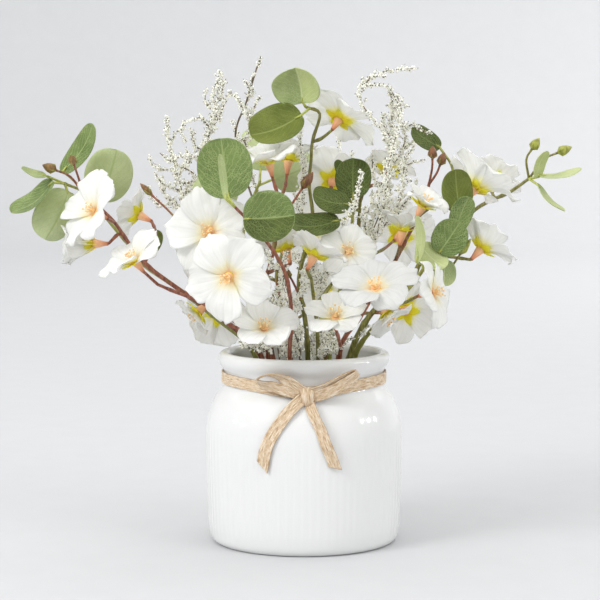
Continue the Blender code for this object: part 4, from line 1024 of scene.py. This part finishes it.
def strap(piece, route, sides, splay=0.0, cut=0.0):
    """Woven strap along the middle points, with its width along the given directions and an oblique end."""
    route = as_array(route)
    sides = as_array(sides)
    sides /= np.linalg.norm(sides, axis=1, keepdims=True)
    reach = lengths_along(route)
    spots = np.linspace(0.0, reach[-1], max(4, int(reach[-1] / STRAP_STEP)))
    middle = between(spots, reach, route)
    side = between(spots, reach, sides)
    side /= np.linalg.norm(side, axis=1, keepdims=True)
    along = np.gradient(middle, axis=0)
    along /= np.linalg.norm(along, axis=1, keepdims=True)
    across = np.linspace(0.0, 1.0, THREADS * THREAD_STEPS + 1)
    offset = (across * 2 - 1)[None, :]
    rag = np.array([0.16 * noise.noise(Vector((spot * 0.7, reach[-1], 3.0))) for spot in spots])
    half = (STRAP_WIDTH * 0.5 * (1.0 + splay * spots / reach[-1]) + rag)[:, None] * offset
    shift = cut * (spots / reach[-1])[:, None] ** 6 * offset
    rows = middle[:, None, :] + side[:, None, :] * half[:, :, None] + along[:, None, :] * shift[:, :, None]
    thick = STRAP_THICK - 0.35 + 2.0 * weave(across[None, :], spots[:, None])
    piece.slab(rows, thick[:, :, None], stacked(across[None, :], spots[:, None] * COORD_SCALE), 0, 0)


def build_band(material):
    """Strap round the neck, which dips at the front towards the knot."""
    angles = ring_angles(BAND_STEPS)
    from_front = np.abs((angles - 1.5 * math.pi + math.pi) % TURN - math.pi)
    dip = BAND_DIP * np.exp(-(from_front / 0.55) ** 2)
    across = np.linspace(0.0, 1.0, THREADS * THREAD_STEPS + 1)
    heights = (BAND_Z - dip)[:, None] + STRAP_WIDTH * (across - 0.5)[None, :]
    inner = np.array([[jar_radius(z) for z in row] for row in heights]) + BAND_CLEAR
    spots = (angles * (NECK_RADIUS + 1.0))[:, None]
    outer = inner + STRAP_THICK - 0.2 + weave(across[None, :], spots)
    coords = stacked(across[None, :], spots * COORD_SCALE)
    coords = np.concatenate([coords, coords[:1]])
    piece = Piece()
    starts = []
    for radius, flip in ((outer, False), (inner, True)):
        rows = stacked(radius * np.cos(angles)[:, None], radius * np.sin(angles)[:, None], heights)
        starts.append(piece.grid(np.concatenate([rows, rows[:1]]), coords, 0, flip=flip))
    over, under = starts
    wide = len(across)
    for column, swap in ((0, False), (wide - 1, True)):
        edge = [column + wide * i for i in range(BAND_STEPS + 1)]
        for a, b in zip(edge, edge[1:]):
            face = (over + a, over + b, under + b, under + a)
            piece.fill([face[::-1] if swap else face], 0)
    piece.build("jute_band", [material], "ribbon_band")


def on_jar(x, z, clear):
    """Point on the front of the jar, the given distance in front of its wall."""
    radius = jar_radius(z) + clear
    return Vector((x, -math.sqrt(radius * radius - x * x), z))


def bow_tail(piece, start, points, splay, cut, turn):
    """Free end of the bow down the front of the jar, turned about its own length."""
    route = smooth_route([Vector(start)] + [on_jar(x, z, clear) for x, z, clear in points], 1.0)
    across = []
    for i, place in enumerate(route):
        along = route[min(i + 1, len(route) - 1)] - route[max(i - 1, 0)]
        side = along.cross(Vector((place.x, place.y, 0.0))).normalized()
        across.append(Matrix.Rotation(math.radians(turn), 3, along.normalized()) @ side)
    strap(piece, route, across, splay, cut)


def bow_loop(piece, points):
    """Loop of the bow through points that each give the strap's width direction too."""
    route = smooth_route([place for place, _ in points], 1.0)
    reach = lengths_along(as_array(route))
    marks = [min(range(len(route)), key=lambda i: (route[i] - Vector(place)).length) for place, _ in points]
    marks[0], marks[-1] = 0, len(route) - 1
    strap(piece, route, between(reach, reach[marks], as_array([side for _, side in points])))


def bow_knot(piece):
    """Strap wrapped over the middle of the bow, with its threads running up and down."""
    wide, deep, tall = KNOT_SIZE
    angles = ring_angles(48)
    rows = []
    coords = []
    for share in np.linspace(-1.0, 1.0, 45):
        round_off = max(0.10, (1.0 - abs(share) ** 3.2)) ** 0.5
        ridge = 0.3 * abs(math.sin(math.pi * THREADS * 0.5 * (share + 1.0))) ** 0.6
        y = (0.5 * deep * round_off + ridge) * np.cos(angles)
        z = (0.5 * tall * (0.75 + 0.25 * round_off) * round_off ** 0.3 + ridge) * np.sin(angles)
        pinch = 1.0 - 0.22 * np.clip(-z / (0.5 * tall), 0.0, 1.0)
        x = share * wide * 0.5 * pinch - KNOT_LEAN * z
        rows.append(stacked(x, y, z) + np.array(KNOT))
        coords.append(stacked(0.5 * (share + 1.0), angles * 0.04))
    ends = (rows[0].mean(axis=0), rows[-1].mean(axis=0))
    piece.shell(np.array(rows), np.array(coords), ends, ((0.5, 0.0), (0.5, 0.0)), 0)


def build_bow(material):
    piece = Piece()
    bow_knot(piece)
    bow_loop(piece, [((0, -51.0, 92.0), (0.45, -0.2, 0.85)), ((-8.8, -52.6, 98.4), (0.5, -0.3, 0.8)),
                     ((-15, -52.6, 101.2), (0.2, -0.85, 0.45)), ((-21, -51.8, 101.8), (0.0, -1.0, 0.15)),
                     ((-26, -50.0, 99.2), (0.0, -1.0, 0.2)), ((-24, -49.0, 96.4), (0.0, -0.7, 0.7)),
                     ((-17, -49.8, 95.0), (0.1, -0.35, 0.95)), ((-9, -51.0, 93.0), (0.2, -0.2, 1.0)),
                     ((0, -50.4, 90.5), (0.3, 0.0, 1.0))])
    bow_loop(piece, [((3, -51.0, 91.6), (-0.4, -0.5, 0.8)), ((12, -52.2, 95.6), (-0.4, -0.75, 0.6)),
                     ((21, -51.4, 100.4), (-0.4, -0.8, 0.5)), ((28, -49.6, 103.4), (-0.3, -0.85, 0.4)),
                     ((29, -50.6, 102.2), (-0.35, -0.7, 0.6)), ((22, -52.0, 97.0), (-0.45, -0.3, 0.85)),
                     ((13, -52.4, 92.4), (-0.4, -0.2, 0.9)), ((4, -50.6, 89.4), (-0.3, 0.0, 1.0))])
    bow_tail(piece, (-0.6, -51.4, 89.0), [(-7.1, 83.5, 3.6), (-13.1, 75.9, 2.2), (-18, 68.2, 1.6),
                                          (-21.3, 60.6, 1.5), (-23.2, 50.8, 1.5)], 0.15, -2.6, 0.0)
    bow_tail(piece, (2.4, -51.2, 87.0), [(5.6, 79.2, 3.4), (9.3, 71.5, 2.4), (12.0, 63.9, 2.2),
                                         (14.8, 57.3, 2.2), (17.2, 50.6, 2.2)], 0.0, -1.8, 28.0)
    piece.build("jute_bow", [material], "ribbon_bow")


# Blossoms


def petal_rows(angle, openness, length, rng):
    """Grid of a petal on a narrow foot, with a soft notch, folds along it and a ragged, wavy edge."""
    along = np.linspace(0.03, 1.0, PETAL_ROWS)[:, None]
    across = np.linspace(-1.0, 1.0, PETAL_COLUMNS)[None, :]
    widths = smooth_route([(share, half, 0.0) for share, half in PETAL_WIDTHS], 0.02)
    half = np.interp(along[:, 0], [p.x for p in widths], [p.y for p in widths])[:, None]
    half = half * length * rng.uniform(0.92, 1.08)
    shift = rng.uniform(-0.25, 0.25)
    tip = along ** 4 * (0.15 * (across - 0.3 * shift) ** 2 + 0.055 * np.exp(-((across - shift) / 0.2) ** 2))
    rag = np.array([0.02 * noise.noise(Vector((edge * 5.0, length, angle * 3.0))) for edge in across[0]])
    run = length * rng.uniform(0.93, 1.0) * (along - tip + rag[None, :] * along ** 3)
    slope = np.radians(openness + rng.uniform(-9, 9) + 16.0 - 28.0 * along)
    y = across * half + rng.uniform(-0.04, 0.04) * length * along ** 2
    z = run * np.sin(slope) - THROAT_SINK * length * math.sin(math.radians(openness + 14))
    z = z + 0.30 * (y / length) ** 2 * length + rng.uniform(0.5, 2.2) * across * along
    phase = rng.uniform(0, TURN)
    ruffle = np.sin(rng.uniform(2.6, 4.2) * math.pi * along + phase + 3.0 * across)
    z = z + 0.05 * length * along ** 2 * np.abs(across) ** 2 * ruffle
    curl = np.cos(rng.uniform(2.5, 5.0) * across + phase) * rng.uniform(-1.0, 0.5)
    z = z + 0.06 * length * along ** 4 * curl
    for spot in (-0.55, shift * 0.4, 0.5):
        fold = np.exp(-((across - spot) / 0.1) ** 2) * np.sin(math.pi * along)
        z = z - 0.45 * rng.uniform(0.5, 1.1) * fold
    return stacked(run * np.cos(slope), y, z), stacked((across + 1) * 0.5, along)


def petal(piece, matrix, angle, openness, length, rng):
    """One petal in its place, bent a little more towards its edge."""
    rows, coords = petal_rows(angle, openness, length, rng)
    rows = placed(matrix @ Matrix.Rotation(angle + rng.uniform(-0.12, 0.12), 4, "Z"), rows)
    bend = np.array([[noise.noise(Vector(point) * 0.13) for point in row] for row in rows])
    normal = np.array(matrix.to_3x3() @ Vector((0, 0, 1)))
    rows = rows + normal * (1.7 * bend * coords[:, :, 1])[:, :, None]
    piece.slab(rows, PETAL_THICK, coords, FACE_SLOT, BACK_SLOT)


def stamens(piece, matrix, rng):
    """Tuft of short filaments with round anthers in the throat."""
    for i in range(STAMENS):
        angle = TURN * i / STAMENS + rng.uniform(-0.2, 0.2)
        lean = math.radians(rng.uniform(12, 42))
        rise = rng.uniform(3.6, 6.0)
        way = Vector((math.cos(angle) * math.sin(lean), math.sin(angle) * math.sin(lean), math.cos(lean)))
        foot = Vector((math.cos(angle) * 0.6, math.sin(angle) * 0.6, -0.2))
        filament = [matrix @ (foot + way * rise * share) for share in (0.0, 0.5, 1.0)]
        piece.tube(filament, (0.24, 0.18, 0.16), 4, STAMEN_SLOT)
        tip = way * 0.55
        anther = [matrix @ (foot + way * rise + tip * share) for share in (-1.0, -0.4, 0.4, 1.0)]
        piece.tube(anther, (0.2, 0.55, 0.55, 0.2), 5, STAMEN_SLOT)
    base = [matrix @ Vector((0, 0, height)) for height in (-0.5, 0.2, 1.0)]
    piece.tube(base, (1.5, 1.3, 0.5), 8, STAMEN_SLOT)


def build_blossoms(materials):
    for number, (place, facing, spin, openness, length) in BLOSSOMS.items():
        rng = random.Random((number - 1) * 7 + 3)
        matrix = frame_towards(place, facing, spin)
        piece = Piece()
        for k in range(PETALS):
            petal(piece, matrix, k * TURN / PETALS, openness, length, rng)
        stamens(piece, matrix, rng)
        # Blossoms listed for painted shade get the darker copy of the petal face.
        face = materials["painted_shade" if number in PAINTED_SHADE_BLOSSOMS else "face"]
        name = f"blossom_{number:02d}"
        piece.build("cherry_" + name, [face, materials["stamens"], materials["back"]], name)


# Stems, buds and leaves


def knobby(route, thick_start, thick_end, rng, spacing):
    """Radius at each point of a stem that tapers and swells at its nodes."""
    lengths = lengths_along(as_array(route))
    following = spacing * rng.uniform(0.5, 1.0)
    nodes = []
    while following < lengths[-1]:
        nodes.append(following)
        following += spacing * rng.uniform(0.6, 1.3)
    radii = []
    for place, length in zip(route, lengths):
        base = thick_start + (thick_end - thick_start) * length / lengths[-1]
        swell = sum(math.exp(-((length - node) / 1.8) ** 2) for node in nodes)
        radii.append(base * (1.0 + 0.32 * swell + 0.06 * noise.noise(place * 0.2)))
    return radii


def stem_route(foam, points, step):
    """Straight up out of the foam, then along the smooth route."""
    x, y = foam
    smooth = smooth_route([(x, y, FOAM_TOP + 2.0)] + points, step)
    return [Vector((x, y, SOCKET_FLOOR + GAP)), Vector((x, y, 70.0))] + smooth


def calyx_foot(number):
    place, facing = BLOSSOMS[number][:2]
    return Vector(place) - Vector(facing).normalized() * (CALYX_LENGTH - 1.0)


def calyx(piece, number):
    """Tube with five low ribs under a blossom, and five pointed sepals that spread under its petals."""
    place, facing, spin, openness, _ = BLOSSOMS[number]
    matrix = frame_towards(place, facing, spin + 180 / PETALS)
    low = -(CALYX_LENGTH - 1.0)
    high = -CALYX_TOP - 0.3
    angles = ring_angles(20)
    shares = np.linspace(0.0, 1.0, 12)
    rows = []
    coords = []
    for share, radius in zip(shares, np.interp(shares, *zip(*CALYX_SHAPE))):
        ribbed = radius * (1.0 + 0.06 * share * np.cos(PETALS * angles))
        rows.append(stacked(ribbed * np.cos(angles), ribbed * np.sin(angles), low + (high - low) * share))
        coords.append(stacked(np.full(len(angles), 0.5), share))
    ends = (matrix @ Vector((0, 0, low)), matrix @ Vector((0, 0, high)))
    piece.shell(placed(matrix, np.array(rows)), np.array(coords), ends, ((0.5, 0.0), (0.5, 0.0)), CALYX_SLOT)
    for k in range(PETALS):
        sepal(piece, matrix @ Matrix.Rotation(k * TURN / PETALS, 4, "Z"), openness, high)


def sepal(piece, matrix, openness, base):
    along = np.linspace(0.0, 1.0, 9)[:, None]
    across = np.linspace(-1.0, 1.0, 7)[None, :]
    half = SEPAL_HALF * (0.75 + 1.1 * along - 1.75 * along ** 2) + 0.02
    run = 1.2 + (SEPAL_REACH - 1.2) * along
    slope = math.radians(max(0.0, openness - 16.0))
    z = base - 0.6 + run * math.sin(slope) * 0.7 - 0.7 * np.sin(along * math.pi) + 0.25 * across ** 2
    rows = placed(matrix, stacked(run * math.cos(slope), across * half, z))
    piece.slab(rows, SEPAL_THICK, stacked((across + 1) * 0.5, along), SEPAL_SLOT, SEPAL_SLOT)


def bud(piece, twig, length, thick, tone):
    """Pointed bud at the end of its twig, with a ring of small scales at its foot."""
    end = twig[-1]
    along = (end - twig[-2]).normalized()
    radii = [BUD_TWIG_RADIUS * (1.0 - 0.2 * i / len(twig)) for i in range(len(twig))]
    radii[-1] *= 1.3
    piece.tube(twig, radii, 9, STEM_SLOT, tone)
    spots = [end + along * (length * share) for share, _ in BUD_SHAPE]
    piece.tube(spots, [0.5 * thick * fullness for _, fullness in BUD_SHAPE], 14, BUD_SLOT, tone)
    beside = along.orthogonal().normalized()
    for k in range(4):
        way = Matrix.Rotation(TURN * k / 4 + 0.4, 3, along) @ beside
        scale = [end + along * 0.2 + way * 0.5, end + along * (0.25 * length) + way * (0.46 * thick),
                 end + along * (0.5 * length) + way * (0.50 * thick)]
        piece.tube(scale, (0.5, 0.75, 0.15), 6, BUD_SLOT, min(1.0, tone + 0.35))


def blade(foot, tip, facing, width, fold, phase):
    """Grid of a round blade, folded along its midrib, with a slightly wavy edge."""
    along = Vector(tip) - foot
    length = along.length
    along.normalize()
    up = Vector(facing)
    up = (up - along * up.dot(along)).normalized()
    share = (0.5 - 0.5 * np.cos(np.linspace(0.0, math.pi, BLADE_ROWS)))[:, None]
    across = np.linspace(-1.0, 1.0, BLADE_COLUMNS)[None, :]
    round_half = np.sqrt(np.maximum(0.0, 1.0 - (2.0 * share - 1.0) ** 2)) ** 0.8
    half = 0.5 * width * np.maximum(round_half, 0.03)
    edge = 0.022 * width * across ** 2 * np.sin(1.2 * TURN * share + phase + across)
    cup = half * math.tan(math.radians(fold)) * np.abs(across) ** 1.35
    rise = cup - 0.12 * length * np.sin(math.pi * share) + edge * min(1.0, 1.2 * width / length)
    ahead = length * share - 0.03 * length * np.abs(across) * (1 - share) ** 2
    rows = np.array(foot) + ahead[..., None] * np.array(along) + rise[..., None] * np.array(up)
    rows = rows + (across * half)[..., None] * np.array(along.cross(up))
    inside = foot + along * (0.12 * length) - up * 0.2
    return rows, stacked((across + 1) * 0.5, share), inside


def leaf(piece, stalk, spec, shade, rng):
    """Blade on its stalk, which runs on into it, with a shade for each half of its upper side; two different
    halves are painted light and shade across the fold.
    """
    rows, coords, inside = blade(stalk[-1], *spec, rng.uniform(0, TURN))
    radii = [STALK_RADIUS * 1.25] + [STALK_RADIUS] * (len(stalk) - 1) + [STALK_RADIUS * 0.5]
    piece.tube(stalk + [inside], radii, 8, STALK_SLOT, 0.4 if shade[0] == "d" else 1.0)
    started = len(piece.slots)
    piece.slab(rows, LEAF_THICK, coords, LEAF_SLOTS["under"], LEAF_SLOTS[shade[0]])
    # The second letter gives the other half of the upper side its own shade, painted light and shade across
    # the fold.
    high, wide = BLADE_ROWS - 1, BLADE_COLUMNS - 1
    for i in range(high):
        for j in range(wide // 2, wide):
            piece.slots[started + (high + i) * wide + j] = LEAF_SLOTS[shade[-1]]


def build_stems(stems, materials, prefix):
    for number, (name, spec) in enumerate(stems.items()):
        rng = random.Random(500 + number)
        tone = spec.get("tone", 0.35)
        route = stem_route(spec["foam"], spec["route"], 2.5)
        piece = Piece()
        radii = knobby(route, *spec["thick"], rng, 26.0)
        piece.tube(route, radii, 12, STEM_SLOT if "tone" in spec else STALK_SLOT, tone)
        for blossom, via in spec.get("blossoms", {}).items():
            twig = smooth_route([calyx_foot(blossom)] + via[:-1] + [onto(route, via[-1])], 2.0)
            piece.tube(twig, knobby(twig, TWIG_RADIUS, TWIG_RADIUS * 1.1, rng, 12.0), 9, STEM_SLOT, tone)
            calyx(piece, blossom)
        for twig, length, width in spec.get("buds", []):
            twig = smooth_route([onto(route, twig[0])] + twig[1:], 2.0)
            bud(piece, twig, length, width, spec["bud_tone"])
        for stalk, *leaf_spec, shade in spec.get("leaves", []):
            stalk = smooth_route([onto(route, stalk[0])] + stalk[1:], 2.0)
            leaf(piece, stalk, leaf_spec, shade, rng)
        piece.build(prefix + name, materials, name)


# Filler


FLORET_POINTS = np.array([(1, 0, 0), (-1, 0, 0), (0, 1, 0), (0, -1, 0), (0, 0, 1), (0, 0, -1)], float)
FLORET_FACES = np.array([(0, 2, 4), (2, 1, 4), (1, 3, 4), (3, 0, 4),
                         (2, 0, 5), (1, 2, 5), (3, 1, 5), (0, 3, 5)])


def add_florets(piece, places, sizes, rng, slot):
    """Small uneven knobs, each turned its own way."""
    count = len(places)
    spins = rng.normal(size=(count, 4)).T
    w, x, y, z = spins / np.linalg.norm(spins, axis=0)
    turns = np.array([[1 - 2 * (y * y + z * z), 2 * (x * y - z * w), 2 * (x * z + y * w)],
                      [2 * (x * y + z * w), 1 - 2 * (x * x + z * z), 2 * (y * z - x * w)],
                      [2 * (x * z - y * w), 2 * (y * z + x * w), 1 - 2 * (x * x + y * y)]])
    shape = FLORET_POINTS[None] * rng.uniform(0.65, 1.25, (count, 1, 3)) * sizes[:, None, None]
    points = np.einsum("ijn,nkj->nki", turns, shape) + places[:, None, :]
    first = piece.add(points, np.repeat(rng.random((count, 2)), 6, axis=0))
    faces = first + 6 * np.arange(count)[:, None, None] + FLORET_FACES[None]
    piece.fill(faces.reshape(-1, 3).tolist(), slot)


def dress_twig(piece, route, rng, spread, density):
    """Florets and a few dark bracts thick along a twig."""
    route = as_array(route)
    reach = lengths_along(route)
    looks = ((FLORET_SLOT, 1.0, 0.5, 0.95, 1.0), (BRACT_SLOT, 0.08, 0.3, 0.5, 1.25))
    for slot, share, small, large, out in looks:
        count = max(2, int(reach[-1] * density * share))
        places = between(rng.uniform(0.0, reach[-1], count), reach, route)
        ways = rng.normal(size=(count, 3))
        ways /= np.linalg.norm(ways, axis=1, keepdims=True)
        places += ways * (spread * out * rng.uniform(0.25, 1.0, count) ** 0.8)[:, None]
        add_florets(piece, places, rng.uniform(small, large, count), rng, slot)


def wander(start, way, length, rng):
    """Slightly crooked route from a start along a direction, curving upwards."""
    jog = Vector(rng.uniform(-0.14, 0.14, 3) * length)
    middle = start + way * (length * 0.5) + jog
    end = start + way * length + Vector(rng.uniform(-0.2, 0.2, 3) * length) + Vector((0, 0, 0.18 * length))
    return smooth_route([start, middle, end], 1.5)


def side_way(along, rng, ahead):
    """Direction to a random side of a twig, leaning ahead."""
    beside = along.orthogonal().normalized()
    way = Matrix.Rotation(rng.uniform(0, TURN), 3, along) @ beside
    return (way + along * ahead).normalized()


def spray(piece, route, bare, rng, reach, thick=0.5):
    """Main twig with crooked side twigs that branch once more, all thick with florets past the bare foot."""
    piece.tube(route, [thick - 0.3 * i / len(route) for i in range(len(route))], 6, TWIG_SLOT)
    first = min(int(bare * len(route)), len(route) - 2)
    dress_twig(piece, route[first:], rng, 1.2, 2.2)
    for i in range(first, len(route) - 1):
        along = (route[i + 1] - route[i]).normalized()
        taper = 1.0 - 0.5 * (i - first) / (len(route) - first)
        for _ in range(int(0.6 + 0.2 * reach + rng.random())):
            length = reach * taper * rng.uniform(0.55, 1.15)
            twig = wander(route[i], side_way(along, rng, rng.uniform(0.5, 1.2)), length, rng)
            piece.tube(twig, [0.16] * len(twig), 4, TWIG_SLOT)
            dress_twig(piece, twig, rng, 0.9, 1.9)
            if length > 4.0:
                way = side_way((twig[-1] - twig[0]).normalized(), rng, 0.8)
                fork = wander(twig[len(twig) // 2], way, 0.45 * length, rng)
                piece.tube(fork, [0.13] * len(fork), 4, TWIG_SLOT)
                dress_twig(piece, fork, rng, 0.8, 1.9)


def build_filler(materials):
    for number, (name, (foam, points, bare)) in enumerate(FILLER.items()):
        rng = np.random.default_rng(100 + number)
        piece = Piece()
        main_twig = stem_route(foam, points, 3.0)
        if name in BARE_TWIGS:
            spray(piece, main_twig, 1.0, rng, 3.0, 0.8)
        else:
            spray(piece, main_twig, bare * 0.85, rng, 5.0)
        routes = [main_twig]
        for strand, reach in FILLER_STRANDS.get(name, []):
            first = Vector(strand[0])
            start = min((onto(route, first) for route in routes), key=lambda spot: (spot - first).length)
            onward = [spot for spot in strand if (Vector(spot) - start).length > 1.0]
            strand = smooth_route([start] + onward, 2.5)
            spray(piece, strand, 0.06, rng, reach)
            routes.append(strand)
        piece.build("sprays_" + name, materials, name)


# Stage, light and camera


def build_stage():
    """Seamless pale floor that rises to a low wall all round."""
    outline = [(0.3, 0.0), (1.2, 0.0), (2.4, 0.0)]
    for i in range(1, 13):
        angle = 0.5 * math.pi * i / 12
        outline.append((2.4 + 0.8 * math.sin(angle), 0.8 - 0.8 * math.cos(angle)))
    outline.append((3.2, 1.7))
    sides = 96
    points = [(0.0, 0.0, 0.0)]
    for radius, height in outline:
        points += [(radius * math.cos(a), radius * math.sin(a), height) for a in ring_angles(sides)]
    faces = [(0, 1 + k, 1 + (k + 1) % sides) for k in range(sides)]
    for i in range(len(outline) - 1):
        for k in range(sides):
            near, far = 1 + i * sides + k, 1 + i * sides + (k + 1) % sides
            faces.append((near, near + sides, far + sides, far))
    mesh = bpy.data.meshes.new("sweep")
    mesh.from_pydata(points, [], faces)
    mesh.materials.append(fleck_material("pale_sweep", 0.8, 0.2, 40.0,
                                         ((0.3, (0.545, 0.55, 0.56)), (0.7, (0.555, 0.56, 0.57))),
                                         detail=2.0, relief=(0.02, 0.0005)))
    mesh.polygons.foreach_set("use_smooth", [True] * len(faces))
    item = bpy.data.objects.new("sweep", mesh)
    bpy.context.scene.collection.objects.link(item)


def area_light(name, place, target, size, power, mirrored=False):
    """Rectangular lamp. Only a mirrored one shows as a spot in the glaze."""
    data = bpy.data.lights.new(name, "AREA")
    data.shape = "RECTANGLE"
    data.size, data.size_y = size
    data.energy = power
    item = bpy.data.objects.new(name, data)
    item.location = place
    item.rotation_euler = (Vector(target) - Vector(place)).to_track_quat("-Z", "Y").to_euler()
    item.visible_glossy = mirrored
    item.visible_diffuse = not mirrored
    bpy.context.scene.collection.objects.link(item)


def build_lights():
    world = bpy.data.worlds.new("soft_room")
    world.use_nodes = True
    background = world.node_tree.nodes["Background"]
    background.inputs["Color"].default_value = (1.0, 1.0, 0.995, 1.0)
    background.inputs["Strength"].default_value = 1.3
    bpy.context.scene.world = world
    middle = (0.0, 0.0, 0.14)
    area_light("key", (-1.25, -1.0, 1.15), middle, (0.7, 0.7), 18.5)
    area_light("fill", (1.3, -1.0, 0.9), middle, (0.8, 0.8), 7.0)
    area_light("backdrop", (1.9, 1.5, 1.7), (1.6, 3.0, 0.4), (1.4, 0.5), 34.0)
    for number, place in enumerate(((1.39, -0.36, 0.58), (1.41, -0.12, 0.51), (1.39, 0.13, 0.45))):
        area_light("window_right_" + str(number), place, middle, (0.06, 0.09), 1.3, True)
    for number, place in enumerate(((-1.40, -0.35, 0.42), (-1.42, 0.02, 0.42))):
        area_light("window_left_" + str(number), place, middle, (0.06, 0.06), 0.35, True)


def build_camera():
    data = bpy.data.cameras.new("camera")
    data.sensor_width = 36.0
    data.lens = 126.0
    item = bpy.data.objects.new("camera", data)
    item.location = (-0.0023, -1.2, 0.25)
    item.rotation_euler = (math.radians(90.0 - 5.3), 0.0, 0.0)
    bpy.context.scene.collection.objects.link(item)
    bpy.context.scene.camera = item


def finish_foam():
    """Gives the foam, the one solid that shows as packed, its material."""
    material = foam_material()
    for slot in bpy.data.objects["foam"].material_slots:
        slot.material = material


def main():
    bpy.context.scene.view_settings.view_transform = "Standard"
    build_camera()
    build_lights()
    build_stage()
    finish_foam()
    build_jar(glaze_material())
    jute = jute_material()
    build_bow(jute)
    build_band(jute)
    build_blossoms(blossom_materials())
    materials = stem_materials()
    build_stems(CHERRY, materials, "branch_")
    build_stems(EUCALYPTUS, materials, "leafy_")
    build_filler([twig_material(), floret_material(), bract_material()])


main()
